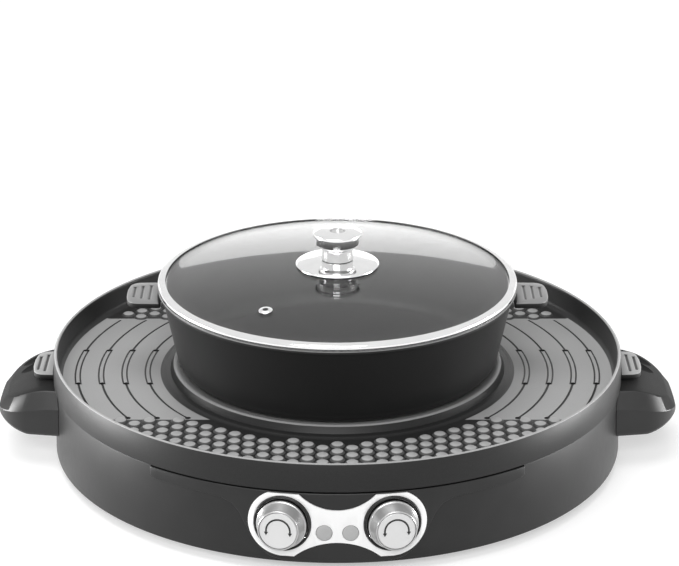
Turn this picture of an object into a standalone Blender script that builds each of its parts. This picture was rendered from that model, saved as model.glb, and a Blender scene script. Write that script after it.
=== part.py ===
"""Hot pot grill combo: a round electric base, a grill pan that plugs into it, a pot and a glass lid.

The model stands on its feet with z = 0 at the table and its axis at x = y = 0. The front, with the
two knobs, looks towards -Y. Everything is in metres, in the assembled state: the pan, the pot and
the lid lift off upwards one after the other.
"""

import math

import bmesh
import bpy
from mathutils import Matrix, Vector

# Clearances
GAP = 0.0003
CUT_CLEARANCE = 0.0004
LOOSE_CLEARANCE = 0.0008
OVERRUN = 0.004
FUSE_DEPTH = 0.0006
MERGE = 0.00001

# Numbers of sides and steps of round shapes
BODY_SEGMENTS = 48
POT_SEGMENTS = 36
KNOB_SEGMENTS = 20
SMALL_SEGMENTS = 12
TINY_SEGMENTS = 8
CORNER_STEPS = 2
FACET_SHARE = math.cos(math.pi / BODY_SEGMENTS)

# Housing
HOUSING_RADIUS = 0.226
HOUSING_HEIGHT = 0.0564
TABLE_CLEARANCE = 0.008
WALL_TAPER = 0.002
WALL = 0.003
RIM_BAND = 0.0053
RIM_ROUND = 0.001
LEDGE_DEPTH = 0.0094
LEDGE_WIDTH = 0.0053
LEDGE_THICKNESS = 0.0025
PILLAR_RADIUS = 0.0045
PILLAR_HOLE_DEPTH = 0.012

# Raised panel at the front of the housing
PANEL_PROUD = 0.0025
PANEL_LEAN = math.radians(4.0)
PANEL_TOP_DROP = 0.0004
PANEL_FOOT_RISE = 0.003
PANEL_HALF_WIDTH = 0.1376
PANEL_BAND_HEIGHT = 0.0085
PANEL_APRON_HALF_WIDTH = 0.077
PANEL_FOOT_HALF_WIDTH = 0.050

# Dumbbell-shaped front plate
PLATE_THICKNESS = 0.0012
PLATE_ROUND_RADIUS = 0.025
PLATE_HEIGHT_ON_WALL = 0.0326
PLATE_WAIST_ABOVE = 0.0112
PLATE_WAIST_BELOW = 0.0134
KNOB_SIDE_OFFSET = 0.0396
LAMP_SIDE_OFFSET = 0.0095
LAMP_DROP = 0.006

# Knob bezels and knobs
BEZEL_RADIUS = 0.021
BEZEL_RIM = 0.0018
BEZEL_RIM_HEIGHT = 0.0026
BEZEL_FLOOR_HEIGHT = 0.001
KNOB_SKIRT_RADIUS = 0.0183
KNOB_BODY_RADIUS = 0.0172
KNOB_FACE_RADIUS = 0.0149
KNOB_SKIRT_HEIGHT = 0.0022
KNOB_LENGTH = 0.0135
KNOB_FACE_DEPTH = 0.0012
KNOB_FACE_INSET = 0.0009
POINTER_RADIUS = 0.0009
SHAFT_RADIUS = 0.003
SHAFT_FLAT_DEPTH = 0.0009
SHAFT_REACH = 0.009
KNOB_STANDOFF = 0.0016

# Thermostats behind the knobs
THERMOSTAT_RADIUS = 0.0096
THERMOSTAT_DEPTH = 0.0078
THERMOSTAT_NECK_RADIUS = 0.0042

# Indicator lamps
LENS_RADIUS = 0.0058
LENS_HEIGHT = 0.0005
LENS_STEM_RADIUS = 0.0042
LENS_STEM_LENGTH = 0.0085
LAMP_RADIUS = 0.0026
LAMP_LENGTH = 0.011

# Bottom cover, feet and screws
COVER_THICKNESS = 0.002
COVER_HEIGHT = 0.010
COVER_SIDE_GAP = 0.0006
VENT_LENGTH = 0.025
VENT_WIDTH = 0.003
VENT_RING_RADIUS = 0.105
VENT_COUNT = 12
FOOT_RADIUS = 0.014
FOOT_SOLE_RADIUS = 0.012
FOOT_INSET = 0.041
FOOT_STEM_RADIUS = 0.0037
FOOT_KNOB_RADIUS = 0.0048
SCREW_RADIUS = 0.0015
SCREW_HEAD_RADIUS = 0.0032
SCREW_HEAD_HEIGHT = 0.002
SCREW_LENGTH = 0.010
TRAY_SCREW_SHORTFALL = 0.001
POST_RADIUS = 0.0045

# Recessed tray
TRAY_SHEET = 0.0012
TRAY_RIM_GAP = 0.0025
TRAY_LIP_DROP = 0.005
TRAY_LIP_WIDTH = 0.0036
TRAY_DEPTH = 0.0371
TRAY_UPPER_WALL_RUN = 0.0073
TRAY_UPPER_WALL_DROP = 0.0209
TRAY_LINE_WIDTH = 0.0018
TRAY_LOWER_WALL_RUN = 0.0055
TRAY_COVE_WIDTH = 0.010
TRAY_COVE_HEIGHT = 0.004

# Ribs and screw bosses on the tray
RIB_WIDTH = 0.006
RIB_HEIGHT = 0.0086
RIB_INNER_RADIUS = 0.063
RIB_OUTER_RADIUS = 0.138
RIB_ANGLES = (137.5, 157.5, 177.5, 195.5, 225.0, 245.0, 264.5, 284.5)
WIDE_RIB_INNER_RADIUS = 0.089
WIDE_RIB_OUTER_RADIUS = 0.136
WIDE_RIB_WIDTH = 0.017
WIDE_RIB_ANGLE = 39.0
BOSS_RING_RADIUS = 0.144
BOSS_ANGLE = 42.5
BOSS_RADIUS = 0.0064
BOSS_BORE = 0.0043
BOSS_HEIGHT = 0.003

# Connector blocks
PLINTH_HEIGHT = 0.0097
PLINTH_WALL = 0.002
BLOCK_HEIGHT = 0.0255
BLOCK_DEPTH = 0.033
BLOCK_CHAMFER_DEPTH = 0.0045
BLOCK_CHAMFER_HEIGHT = 0.007
BLOCK_LENGTH = 0.0742
BLOCK_STEP = 0.0035
FIRST_SLOT_START = 0.013
FIRST_SLOT_WIDTH = 0.0095
SECOND_SLOT_START = 0.0315
SECOND_SLOT_WIDTH = 0.009
THIRD_SLOT_START = 0.049
THIRD_SLOT_WIDTH = 0.0095
SLOT_DEPTH = 0.009
SLOT_FRONT_DEPTH = 0.0185
FIRST_SLOT_BACK = 0.0135
SECOND_SLOT_BACK = 0.0255
THIRD_SLOT_FRONT = 0.0155
THIRD_SLOT_BACK = 0.0245
RAMP_TOP = 0.014
RAMP_FOOT = 0.004
FIRST_CONTACT = 0.018
EARTH_CONTACT = 0.036
SECOND_CONTACT = 0.054
CONTACT_PLACE = 0.0205
SLEEVE_WALL = 0.0007
CENTRE_BLOCK_X = 0.0133
CENTRE_BLOCK_FRONT_Y = -0.0285
CENTRE_PLINTH_LEFT_X = -0.0305
CENTRE_PLINTH_RIGHT_X = 0.0955
CENTRE_PLINTH_FRONT_Y = -0.035
CENTRE_PLINTH_BACK_Y = 0.019
RIGHT_BLOCK_ANGLE = math.radians(11.0)
RIGHT_BLOCK_INSET = 0.090
RIGHT_BLOCK_FRONT_Y = -0.0105
RIGHT_PLINTH_MARGIN = 0.007
RIGHT_PLINTH_FRONT_MARGIN = 0.004

# Control box beside the centre block
CONTROL_BOX_LEFT_X = -0.0288
CONTROL_BOX_RIGHT_X = 0.0126
CONTROL_BOX_FRONT_Y = -0.031
CONTROL_BOX_BACK_Y = 0.007
CONTROL_PANEL_PROUD = 0.0008
CONTROL_PANEL_LEFT_X = -0.0178
CONTROL_PANEL_RIGHT_X = -0.001
CONTROL_POCKET_RADIUS = 0.0088
CONTROL_POCKET_DEPTH = 0.006
CONTROL_POCKET_Y = -0.0047

# Sprung temperature sensors
SENSOR_WIDTH = 0.0076
SENSOR_DEPTH = 0.013
SENSOR_START = 0.0502
SENSOR_PROUD = 0.0038
SENSOR_FRONT = 0.028
SENSOR_HEAD_HEIGHT = 0.014
SENSOR_COLLAR_RADIUS = 0.0026
SENSOR_COLLAR_HEIGHT = 0.001
SENSOR_STEM_RADIUS = 0.0016
GUIDE_WALL = 0.0016
GUIDE_HEIGHT = 0.0195
SPRING_WIRE_RADIUS = 0.0004
SPRING_RADIUS = 0.0029
SPRING_TURNS = 4
SPRING_POINTS_PER_TURN = 8

# Handles
HANDLE_REACH = 0.0445
HANDLE_HALF_WIDTH = 0.054
HANDLE_TIP_HALF_WIDTH = 0.047
HANDLE_TIP_ROUND = 0.030
HANDLE_TIP_ROUND_START = math.radians(12.0)
HANDLE_TIP_ROUND_END = math.radians(84.0)
HANDLE_TIP_STEPS = 6
HANDLE_ROOT_HEIGHT = 0.037
HANDLE_TIP_DROP = 0.014
HANDLE_TIP_LIFT = 0.010
HANDLE_WALL = 0.006
HANDLE_TOP_WALL = 0.008
HANDLE_BEVEL = 0.012
HANDLE_ROOT_FLAT = 0.006
HANDLE_EDGE = 0.006
HANDLE_SCOOP_LENGTH = 0.0165
HANDLE_SCOOP_WIDTH = 0.0068
HANDLE_SCOOP_DEPTH = 0.0034
HANDLE_SCOOP_RIDGE = 0.0012
HANDLE_SCOOP_Y = 0.0135
HANDLE_SCOOP_STEP = 0.017
HANDLE_SCREW_Y = 0.030
HANDLE_BEND_SHARE = 0.55
HANDLE_BEND_DROP_SHARE = 0.4
HANDLE_LIFT_START_SHARE = 0.45

# Mains inlet at the back
INLET_WIDTH = 0.030
INLET_HEIGHT = 0.022
INLET_ROUND = 0.004
INLET_FLANGE = 0.004
INLET_FLANGE_THICKNESS = 0.0025
INLET_WALL = 0.0025
INLET_INSIDE_REACH = 0.004
INLET_PIN_RADIUS = 0.002
INLET_PIN_SPACING = 0.007
INLET_PIN_SHORTFALL = 0.004
INLET_Z = 0.032

# Grill pan
PAN_SEAT_GAP = 0.0003
PAN_HEIGHT = 0.0226
PAN_WALL = 0.003
PAN_WALL_TAPER = 0.001
PAN_FLOOR_DROP = 0.0017
PAN_FLOOR = 0.0038
PAN_SPIGOT_CLEARANCE = 0.0021
PAN_COVE = 0.004
PAN_RING_WIDTH = 0.005
PAN_RING_OFFSET = 0.0042
PAN_RING_HEIGHT = 0.0018
PAN_LIP_CLEARANCE = 0.0028
PAN_LIP_WIDTH = 0.005
PAN_LIP_HEIGHT = 0.0074
PAN_DISH_INSET = 0.008
PAN_DISH_HEIGHT = 0.0044
PAN_DISH_THICKNESS = 0.0042
PAN_DISH_EDGE = 0.003
PAN_EAR_REACH = 0.0165
PAN_EAR_HALF_WIDTH = 0.024
PAN_EAR_ROUND = 0.008
PAN_EAR_DROP = 0.017
PAN_EAR_THICKNESS = 0.0045
EAR_GROOVE_WIDTH = 0.0012
EAR_GROOVE_DEPTH = 0.0008
PAN_EAR_GROOVES = (0.004, 0.0115)
EAR_GROOVE_LENGTH_SHARE = 0.62
ARC_GROOVE_START = 0.0115
ARC_GROOVE_PITCH = 0.0185
ARC_GROOVES = 4
ARC_GROOVE_HALF_LENGTH = 0.0995
ARC_GROOVE_WIDTH = 0.002
ARC_GROOVE_DEPTH = 0.0012

# Heating elements under the pan
ELEMENT_RADIUS = 0.0033
OUTER_ELEMENT_INSET = 0.0355
INNER_ELEMENT_INSET = 0.020
ELEMENT_OPEN_ANGLE = math.radians(13.0)
INNER_ELEMENT_OPEN_ANGLE = math.radians(30.0)
TERMINAL_RADIUS = 0.002
TERMINAL_DEPTH = 0.011
TERMINAL_COLLAR_RADIUS = 0.0042
TERMINAL_COLLAR_HEIGHT = 0.004
EARTH_PIN_RADIUS = 0.002
ELEMENT_CLIP_WIDTH = 0.008
ELEMENT_CLIP_WALL = 0.0012
ELEMENT_CLIPS = 4

# Pot
POT_SEAT_GAP = 0.0003
POT_HEIGHT = 0.0675
POT_RIM_RADIUS = 0.1415
POT_RIM_WIDTH = 0.0025
POT_TAPER = 0.011
POT_RIM_HEIGHT = 0.003
POT_ROUND = 0.014
POT_WALL = 0.0025
POT_ROUND_STEPS = 3
POT_EAR_REACH = 0.0249
POT_EAR_HALF_WIDTH = 0.023
POT_EAR_ROUND = 0.008
POT_EAR_DROP = 0.0085
POT_EAR_THICKNESS = 0.0045
POT_EAR_GROOVES = (0.0095, 0.0155, 0.0215)

# Lid
LID_SEAT_GAP = 0.0003
LID_OVERHANG = 0.0002
LID_BAND_HEIGHT = 0.0048
LID_BAND_WALL = 0.0008
LID_BAND_LAP = 0.006
GLASS_RISE = 0.0124
GLASS_STEPS = 4
SKIRT_INSIDE_CLEARANCE = 0.0012
SKIRT_DEPTH = 0.004
VENT_X = -0.0544
VENT_Y = -0.0838
EYELET_RADIUS = 0.0053
EYELET_BORE = 0.0022
EYELET_SHANK = 0.0034
EYELET_HEIGHT = 0.0011
FLANGE_RADIUS = 0.0328
FLANGE_HEIGHT = 0.0037
FLANGE_EDGE = 0.0011
FLANGE_CROWN_RADIUS = 0.0192
NECK_RADIUS = 0.0128
NECK_HEIGHT = 0.0085
STEM_RADIUS = 0.0169
STEM_HEIGHT = 0.012
STEM_FLARE = 0.004
CAP_RADIUS = 0.0192
CAP_HEIGHT = 0.0026
CAP_SKIRT = 0.0012
LID_SCREW_RADIUS = 0.002
LID_SCREW_HEAD_RADIUS = 0.0042
LID_SCREW_HEAD_HEIGHT = 0.0022
LID_SCREW_REACH = 0.011
WASHER_RADIUS = 0.008
WASHER_THICKNESS = 0.0012

# Holes for the wires to the contacts
WIRE_RADIUS = 0.0012
WIRE_HOLE_RADIUS = 0.0024

# Places worked out from the sizes
RIM_Z = TABLE_CLEARANCE + HOUSING_HEIGHT
WALL_TOP_RADIUS = HOUSING_RADIUS - WALL_TAPER
RIM_INNER_RADIUS = WALL_TOP_RADIUS - RIM_BAND
LEDGE_Z = RIM_Z - LEDGE_DEPTH
LEDGE_UNDER_Z = LEDGE_Z - LEDGE_THICKNESS
LEDGE_INNER_RADIUS = RIM_INNER_RADIUS - LEDGE_WIDTH
WALL_FOOT_INNER_RADIUS = HOUSING_RADIUS - WALL
TRAY_OUTER_RADIUS = RIM_INNER_RADIUS - TRAY_RIM_GAP
TRAY_LIP_Z = RIM_Z - TRAY_LIP_DROP
TRAY_FLOOR_Z = TRAY_LIP_Z - TRAY_DEPTH
PLINTH_Z = TRAY_FLOOR_Z + PLINTH_HEIGHT
BLOCK_Z = PLINTH_Z + BLOCK_HEIGHT
PAN_FOOT_Z = RIM_Z + PAN_SEAT_GAP
PAN_RIM_Z = PAN_FOOT_Z + PAN_HEIGHT - PAN_SEAT_GAP
PAN_FLOOR_Z = PAN_FOOT_Z + PAN_FLOOR_DROP
PAN_UNDER_Z = PAN_FLOOR_Z - PAN_FLOOR
PAN_DISH_Z = PAN_FLOOR_Z + PAN_DISH_HEIGHT
PAN_DISH_UNDER_Z = PAN_DISH_Z - PAN_DISH_THICKNESS
POT_FOOT_Z = PAN_DISH_Z + POT_SEAT_GAP
POT_RIM_Z = POT_FOOT_Z + POT_HEIGHT
LID_SEAT_Z = POT_RIM_Z + LID_SEAT_GAP
COVER_TOP_Z = COVER_HEIGHT + COVER_THICKNESS
FOOT_RING_RADIUS = HOUSING_RADIUS - FOOT_INSET
RIGHT_BLOCK_X = HOUSING_RADIUS - RIGHT_BLOCK_INSET
TRAY_LIP_INNER_RADIUS = TRAY_OUTER_RADIUS - TRAY_LIP_WIDTH
POT_UPPER_RADIUS = POT_RIM_RADIUS - POT_RIM_WIDTH
POT_LOWER_RADIUS = POT_UPPER_RADIUS - POT_TAPER
LID_BAND_RADIUS = POT_RIM_RADIUS + LID_OVERHANG
PAN_RADIUS = HOUSING_RADIUS
PAN_SPIGOT_RADIUS = TRAY_LIP_INNER_RADIUS - PAN_SPIGOT_CLEARANCE
PAN_DISH_RADIUS = POT_LOWER_RADIUS - PAN_DISH_INSET
PAN_LIP_RADIUS = POT_LOWER_RADIUS + PAN_LIP_CLEARANCE
PAN_RING_INNER_RADIUS = PAN_LIP_RADIUS + PAN_RING_OFFSET
PAN_RING_OUTER_RADIUS = PAN_RING_INNER_RADIUS + PAN_RING_WIDTH
OUTER_ELEMENT_RING = PAN_SPIGOT_RADIUS - OUTER_ELEMENT_INSET
INNER_ELEMENT_RING = PAN_DISH_RADIUS - INNER_ELEMENT_INSET


def remove_objects():
    for item in list(bpy.data.objects):
        bpy.data.objects.remove(item, do_unlink=True)


def new_collection(name):
    group = bpy.data.collections.new(name)
    bpy.context.scene.collection.children.link(group)
    return group


remove_objects()
PARTS = new_collection("Hot pot grill combo")
CUTTERS = new_collection("Cutters")


def finish(name, grey, roughness, metallic=0.0):
    """A Principled material of one grey."""
    material = bpy.data.materials.new(name)
    material.use_nodes = True
    shader = material.node_tree.nodes["Principled BSDF"]
    shader.inputs["Base Color"].default_value = (grey, grey, grey, 1)
    shader.inputs["Roughness"].default_value = roughness
    shader.inputs["Metallic"].default_value = metallic
    return material


GLOSSY_BLACK = finish("glossy black", 0.02, 0.15)
SATIN_BLACK = finish("satin black", 0.04, 0.45)
TRAY_GREY = finish("tray grey", 0.25, 0.5)
CAST_COATING = finish("cast coating", 0.06, 0.45)
RUBBER = finish("rubber", 0.03, 0.8)
STEEL = finish("steel", 0.7, 0.25, 1.0)
SILVER_PLASTIC = finish("silver plastic", 0.75, 0.3, 0.6)
LENS_GREY = finish("lens grey", 0.5, 0.3)
GLASS = finish("glass", 0.6, 0.05)
CERAMIC = finish("ceramic", 0.1, 0.6)


def add(name, mesh, material=None):
    """Put a mesh in the scene: with a material it is a part, without one it is a cutter."""
    item = bpy.data.objects.new(name, mesh)
    if material is None:
        CUTTERS.objects.link(item)
        item.hide_render = True
        item.display_type = "WIRE"
    else:
        PARTS.objects.link(item)
        mesh.materials.append(material)
    return item


def turned(name, profile, material=None, segments=BODY_SEGMENTS, closed=True, steps=None):
    """Turn (radius, height) points about Z; the profile's outer side runs downwards."""
    mesh = bpy.data.meshes.new(name)
    points = [(radius, 0, height) for radius, height in profile]
    edges = [(index, index + 1) for index in range(len(points) - 1)]
    if closed:
        edges.append((len(points) - 1, 0))
    mesh.from_pydata(points, edges, [])
    item = add(name, mesh, material)
    screw = item.modifiers.new("Turn", "SCREW")
    screw.axis = "Z"
    screw.angle = math.tau
    screw.steps = segments
    screw.render_steps = segments
    screw.use_merge_vertices = True
    screw.merge_threshold = MERGE
    screw.use_smooth_shade = True
    return item


def closed_mesh(name, curve):
    """Turn a curve into a mesh whose caps are welded and whose faces look outwards."""
    guide = bpy.data.objects.new(name + " guide", curve)
    CUTTERS.objects.link(guide)
    graph = bpy.context.evaluated_depsgraph_get()
    mesh = bpy.data.meshes.new_from_object(guide.evaluated_get(graph))
    bpy.data.objects.remove(guide, do_unlink=True)
    shape = bmesh.new()
    shape.from_mesh(mesh)
    bmesh.ops.remove_doubles(shape, verts=shape.verts, dist=MERGE)
    bmesh.ops.recalc_face_normals(shape, faces=shape.faces)
    shape.to_mesh(mesh)
    shape.free()
    mesh.name = name
    mesh.materials.clear()
    return mesh


def slab(name, outline, low, high, material=None, frame=None):
    """Extrude a flat outline from low to high along its frame's Z."""
    curve = bpy.data.curves.new(name, "CURVE")
    curve.dimensions = "2D"
    curve.fill_mode = "BOTH"
    curve.extrude = (high - low) / 2
    spline = curve.splines.new("POLY")
    spline.points.add(len(outline) - 1)
    for point, (across, along) in zip(spline.points, outline):
        point.co = (across, along, 0, 1)
    spline.use_cyclic_u = True
    mesh = closed_mesh(name, curve)
    mesh.transform(Matrix.Translation((0, 0, (low + high) / 2)))
    item = add(name, mesh, material)
    if frame:
        item.matrix_world = frame
    return item


def tube(name, route, radius, material=None, sides_level=2):
    """A round bar along a route of points, with filled ends."""
    curve = bpy.data.curves.new(name, "CURVE")
    curve.dimensions = "3D"
    curve.bevel_depth = radius
    curve.bevel_resolution = sides_level
    curve.use_fill_caps = True
    spline = curve.splines.new("POLY")
    spline.points.add(len(route) - 1)
    for point, place in zip(spline.points, route):
        point.co = (*place, 1)
    return add(name, closed_mesh(name, curve), material)


def box(name, low, high, material=None, frame=None):
    """A box between two opposite corners."""
    shape = bmesh.new()
    bmesh.ops.create_cube(shape, size=1)
    low = Vector(low)
    high = Vector(high)
    bmesh.ops.scale(shape, vec=high - low, verts=shape.verts)
    bmesh.ops.translate(shape, vec=(low + high) / 2, verts=shape.verts)
    mesh = bpy.data.meshes.new(name)
    shape.to_mesh(mesh)
    shape.free()
    item = add(name, mesh, material)
    if frame:
        item.matrix_world = frame
    return item


def cylinder(name, radius, low, high, place=(0, 0), material=None, frame=None,
             segments=SMALL_SEGMENTS, top_radius=None):
    """A round bar from low to high along its frame's Z."""
    shape = bmesh.new()
    bmesh.ops.create_cone(shape, cap_ends=True, segments=segments, radius1=radius,
                          radius2=radius if top_radius is None else top_radius, depth=high - low)
    bmesh.ops.translate(shape, vec=(*place, (low + high) / 2), verts=shape.verts)
    mesh = bpy.data.meshes.new(name)
    shape.to_mesh(mesh)
    shape.free()
    item = add(name, mesh, material)
    if frame:
        item.matrix_world = frame
    return item


def ball(name, radii, frame):
    """An ellipsoid of three radii, used as a cutter."""
    shape = bmesh.new()
    bmesh.ops.create_uvsphere(shape, u_segments=SMALL_SEGMENTS, v_segments=TINY_SEGMENTS, radius=1)
    bmesh.ops.scale(shape, vec=radii, verts=shape.verts)
    mesh = bpy.data.meshes.new(name)
    shape.to_mesh(mesh)
    shape.free()
    item = add(name, mesh)
    item.matrix_world = frame
    return item


def combine(item, tool, operation):
    change = item.modifiers.new(operation.title() + " " + tool.name, "BOOLEAN")
    change.operation = operation
    change.solver = "EXACT"
    change.object = tool
    return item


def cut(item, *tools):
    for tool in tools:
        combine(item, tool, "DIFFERENCE")
    return item


def fuse(item, *tools):
    for tool in tools:
        combine(item, tool, "UNION")
    return item


def keep_inside(item, tool):
    return combine(item, tool, "INTERSECT")


def bevel(item, width, segments=1, angle=math.radians(40)):
    change = item.modifiers.new("Rounded edges", "BEVEL")
    change.width = width
    change.segments = segments
    change.limit_method = "ANGLE"
    change.angle_limit = angle
    return item


def arc(centre, radius, start, end, steps):
    """Points of an arc, with its angles in radians."""
    points = []
    for step in range(steps + 1):
        angle = start + (end - start) * step / steps
        points.append((centre[0] + radius * math.cos(angle), centre[1] + radius * math.sin(angle)))
    return points


def rounded_rectangle(left, front, right, back, radius, steps=CORNER_STEPS):
    """A rectangle's outline whose four corners are quarter circles."""
    corners = ((right - radius, back - radius), (left + radius, back - radius),
               (left + radius, front + radius), (right - radius, front + radius))
    outline = []
    for quarter, corner in enumerate(corners):
        start = quarter * math.pi / 2
        outline += arc(corner, radius, start, start + math.pi / 2, steps)
    return outline


def on_circle(radius, angle):
    return radius * math.cos(angle), radius * math.sin(angle)


STANDING = Matrix.Rotation(math.pi / 2, 4, "X")
SIDEWAYS = Matrix(((0, 0, 1, 0), (1, 0, 0, 0), (0, 1, 0, 0), (0, 0, 0, 1)))
SIDES = (("left", -1), ("right", 1))
QUARTERS = [math.radians(45 + 90 * quarter) for quarter in range(4)]
BOSS_ANGLES = [math.radians(angle) for angle in (BOSS_ANGLE, 180 - BOSS_ANGLE, 180 + BOSS_ANGLE, -BOSS_ANGLE)]


def wall_outer(height):
    """Outer radius of the housing's wall at a height."""
    share = (height - TABLE_CLEARANCE) / HOUSING_HEIGHT
    return HOUSING_RADIUS - WALL_TAPER * share


def wall_inner(height):
    return wall_outer(height) - WALL


def panel_radius(height):
    """Radius of the leaning panel at the front."""
    return WALL_TOP_RADIUS + PANEL_PROUD + (RIM_Z - height) * math.tan(PANEL_LEAN)


def panel_frame(side_offset, height):
    """A frame on the leaning panel whose Z points straight out of it."""
    radius = panel_radius(height)
    turn = math.asin(side_offset / radius)
    place = Vector((side_offset, -radius * math.cos(turn), height))
    outwards = Vector((math.sin(turn) * math.cos(PANEL_LEAN), -math.cos(turn) * math.cos(PANEL_LEAN),
                       math.sin(PANEL_LEAN)))
    across = Vector((math.cos(turn), math.sin(turn), 0))
    upwards = outwards.cross(across)
    rotation = Matrix((across, upwards, outwards)).transposed().to_4x4()
    return Matrix.Translation(place) @ rotation


KNOB_HEIGHT = TABLE_CLEARANCE + PLATE_HEIGHT_ON_WALL
LAMP_HEIGHT = KNOB_HEIGHT - LAMP_DROP
KNOB_FRAMES = {side: panel_frame(sign * KNOB_SIDE_OFFSET, KNOB_HEIGHT) for side, sign in SIDES}
LAMP_FRAMES = {side: panel_frame(sign * LAMP_SIDE_OFFSET, LAMP_HEIGHT) for side, sign in SIDES}
PILLAR_RING_RADIUS = LEDGE_INNER_RADIUS + PILLAR_RADIUS + FUSE_DEPTH
HANDLE_SCREW_Z = RIM_Z - HANDLE_ROOT_HEIGHT / 2


def cone_ring(name, inset, outset, low, high, material=None):
    """A ring between two surfaces parallel to the leaning panel."""
    return turned(name, ((panel_radius(high) + inset, high), (panel_radius(high) + outset, high),
                         (panel_radius(low) + outset, low), (panel_radius(low) + inset, low)), material)


def panel_outline():
    """Front view of the raised panel: a band that widens into an apron."""
    top = RIM_Z - PANEL_TOP_DROP
    band = top - PANEL_BAND_HEIGHT
    foot = TABLE_CLEARANCE + PANEL_FOOT_RISE
    slope_shares = ((0.0, 0.0), (0.15, 0.17), (0.41, 0.51), (0.69, 0.82), (1.0, 1.0))
    right = []
    for in_share, down_share in slope_shares:
        right.append((PANEL_APRON_HALF_WIDTH + (PANEL_FOOT_HALF_WIDTH - PANEL_APRON_HALF_WIDTH) * in_share,
                      band + (foot - band) * down_share))
    right = [(PANEL_HALF_WIDTH, top), (PANEL_HALF_WIDTH, band)] + right
    left = [(-across, height) for across, height in reversed(right)]
    return right + left


def front_panel():
    middle = wall_outer(RIM_Z) - WALL / 2
    foot_middle = wall_outer(TABLE_CLEARANCE) - WALL / 2
    low = TABLE_CLEARANCE
    ring = turned("front panel ring", ((middle, RIM_Z), (panel_radius(RIM_Z), RIM_Z),
                                       (panel_radius(low), low), (foot_middle, low)))
    shape = slab("front panel outline", panel_outline(), 0, 2 * HOUSING_RADIUS, frame=STANDING)
    return keep_inside(ring, shape)


def base_housing():
    """Turned housing with its ledge, the raised front panel, pillars and every hole of the wall."""
    housing = turned("base_housing", (
        (RIM_INNER_RADIUS, RIM_Z - RIM_ROUND),
        (RIM_INNER_RADIUS + RIM_ROUND, RIM_Z),
        (WALL_TOP_RADIUS - RIM_ROUND, RIM_Z),
        (WALL_TOP_RADIUS, RIM_Z - RIM_ROUND),
        (HOUSING_RADIUS, TABLE_CLEARANCE + RIM_ROUND),
        (HOUSING_RADIUS - RIM_ROUND, TABLE_CLEARANCE),
        (WALL_FOOT_INNER_RADIUS, TABLE_CLEARANCE),
        (wall_inner(LEDGE_UNDER_Z), LEDGE_UNDER_Z),
        (LEDGE_INNER_RADIUS, LEDGE_UNDER_Z),
        (LEDGE_INNER_RADIUS, LEDGE_Z),
        (RIM_INNER_RADIUS, LEDGE_Z)), GLOSSY_BLACK)
    fuse(housing, front_panel())
    for number, angle in enumerate(QUARTERS):
        place = on_circle(PILLAR_RING_RADIUS, angle)
        low = COVER_TOP_Z + GAP
        pillar = cylinder("pillar %d" % number, PILLAR_RADIUS, low, LEDGE_UNDER_Z + FUSE_DEPTH, place)
        fuse(housing, pillar)
        cut(housing, cylinder("pillar hole %d" % number, SCREW_RADIUS + GAP, low - OVERRUN,
                              low + PILLAR_HOLE_DEPTH, place, segments=TINY_SEGMENTS))
    for side, sign in SIDES:
        cut(housing, cylinder("neck hole " + side, THERMOSTAT_NECK_RADIUS + GAP, -HOUSING_RADIUS / 4,
                              OVERRUN, frame=KNOB_FRAMES[side]))
        cut(housing, cylinder("lens hole " + side, LENS_STEM_RADIUS + GAP, -HOUSING_RADIUS / 4,
                              OVERRUN, frame=LAMP_FRAMES[side]))
        for number, (place, low, high) in enumerate(handle_screw_places(sign)):
            cut(housing, handle_screw_hole("handle screw hole %s %d" % (side, number), sign, place,
                                           wall_inner(RIM_Z) - OVERRUN, HOUSING_RADIUS + OVERRUN))
    opening = rounded_rectangle(-INLET_WIDTH / 2 - GAP, INLET_Z - INLET_HEIGHT / 2 - GAP,
                                INLET_WIDTH / 2 + GAP, INLET_Z + INLET_HEIGHT / 2 + GAP, INLET_ROUND)
    cut(housing, slab("inlet opening", opening, -HOUSING_RADIUS - OVERRUN, -HOUSING_RADIUS / 2,
                      frame=STANDING))
    return housing


def handle_screw_places(sign):
    """Each handle screw's y, and the x at which its head and its tip lie."""
    flat_wall = wall_inner(HANDLE_SCREW_Z + SCREW_HEAD_RADIUS) * FACET_SHARE
    head = math.sqrt(flat_wall ** 2 - (HANDLE_SCREW_Y + SCREW_HEAD_RADIUS) ** 2)
    return [(y, head - GAP - SCREW_HEAD_HEIGHT, head + SCREW_LENGTH)
            for y in (-HANDLE_SCREW_Y, HANDLE_SCREW_Y)]


def along_x(sign, y, z):
    """A frame whose Z runs outwards along X on one side."""
    return Matrix.Translation((0, y, z)) @ Matrix.Rotation(sign * math.pi / 2, 4, "Y")


def handle_screw_hole(name, sign, y, low, high):
    return cylinder(name, SCREW_RADIUS + GAP, low, high, frame=along_x(sign, y, HANDLE_SCREW_Z),
                    segments=TINY_SEGMENTS)


def handle_outline():
    """Plan of the right handle, from inside the housing to its round tip."""
    tip = HOUSING_RADIUS + HANDLE_REACH
    root = HOUSING_RADIUS - HANDLE_REACH
    upper = [(root, HANDLE_HALF_WIDTH)]
    corner = (tip - HANDLE_TIP_ROUND, HANDLE_TIP_HALF_WIDTH - HANDLE_TIP_ROUND)
    upper += reversed(arc(corner, HANDLE_TIP_ROUND, HANDLE_TIP_ROUND_START, HANDLE_TIP_ROUND_END,
                          HANDLE_TIP_STEPS))
    lower = [(x, -y) for x, y in reversed(upper)]
    return upper + lower


def inset_outline(outline, distance):
    """Move a convex outline inwards by a distance."""
    count = len(outline)
    lines = []
    for index in range(count):
        start = Vector(outline[index])
        end = Vector(outline[(index + 1) % count])
        along = (end - start).normalized()
        inward = Vector((along.y, -along.x)) * distance
        lines.append((start + inward, along))
    points = []
    for index in range(count):
        place, along = lines[index - 1]
        other_place, other_along = lines[index]
        crossing = along.x * other_along.y - along.y * other_along.x
        apart = other_place - place
        step = (apart.x * other_along.y - apart.y * other_along.x) / crossing
        points.append(tuple(place + along * step))
    return points


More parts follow.
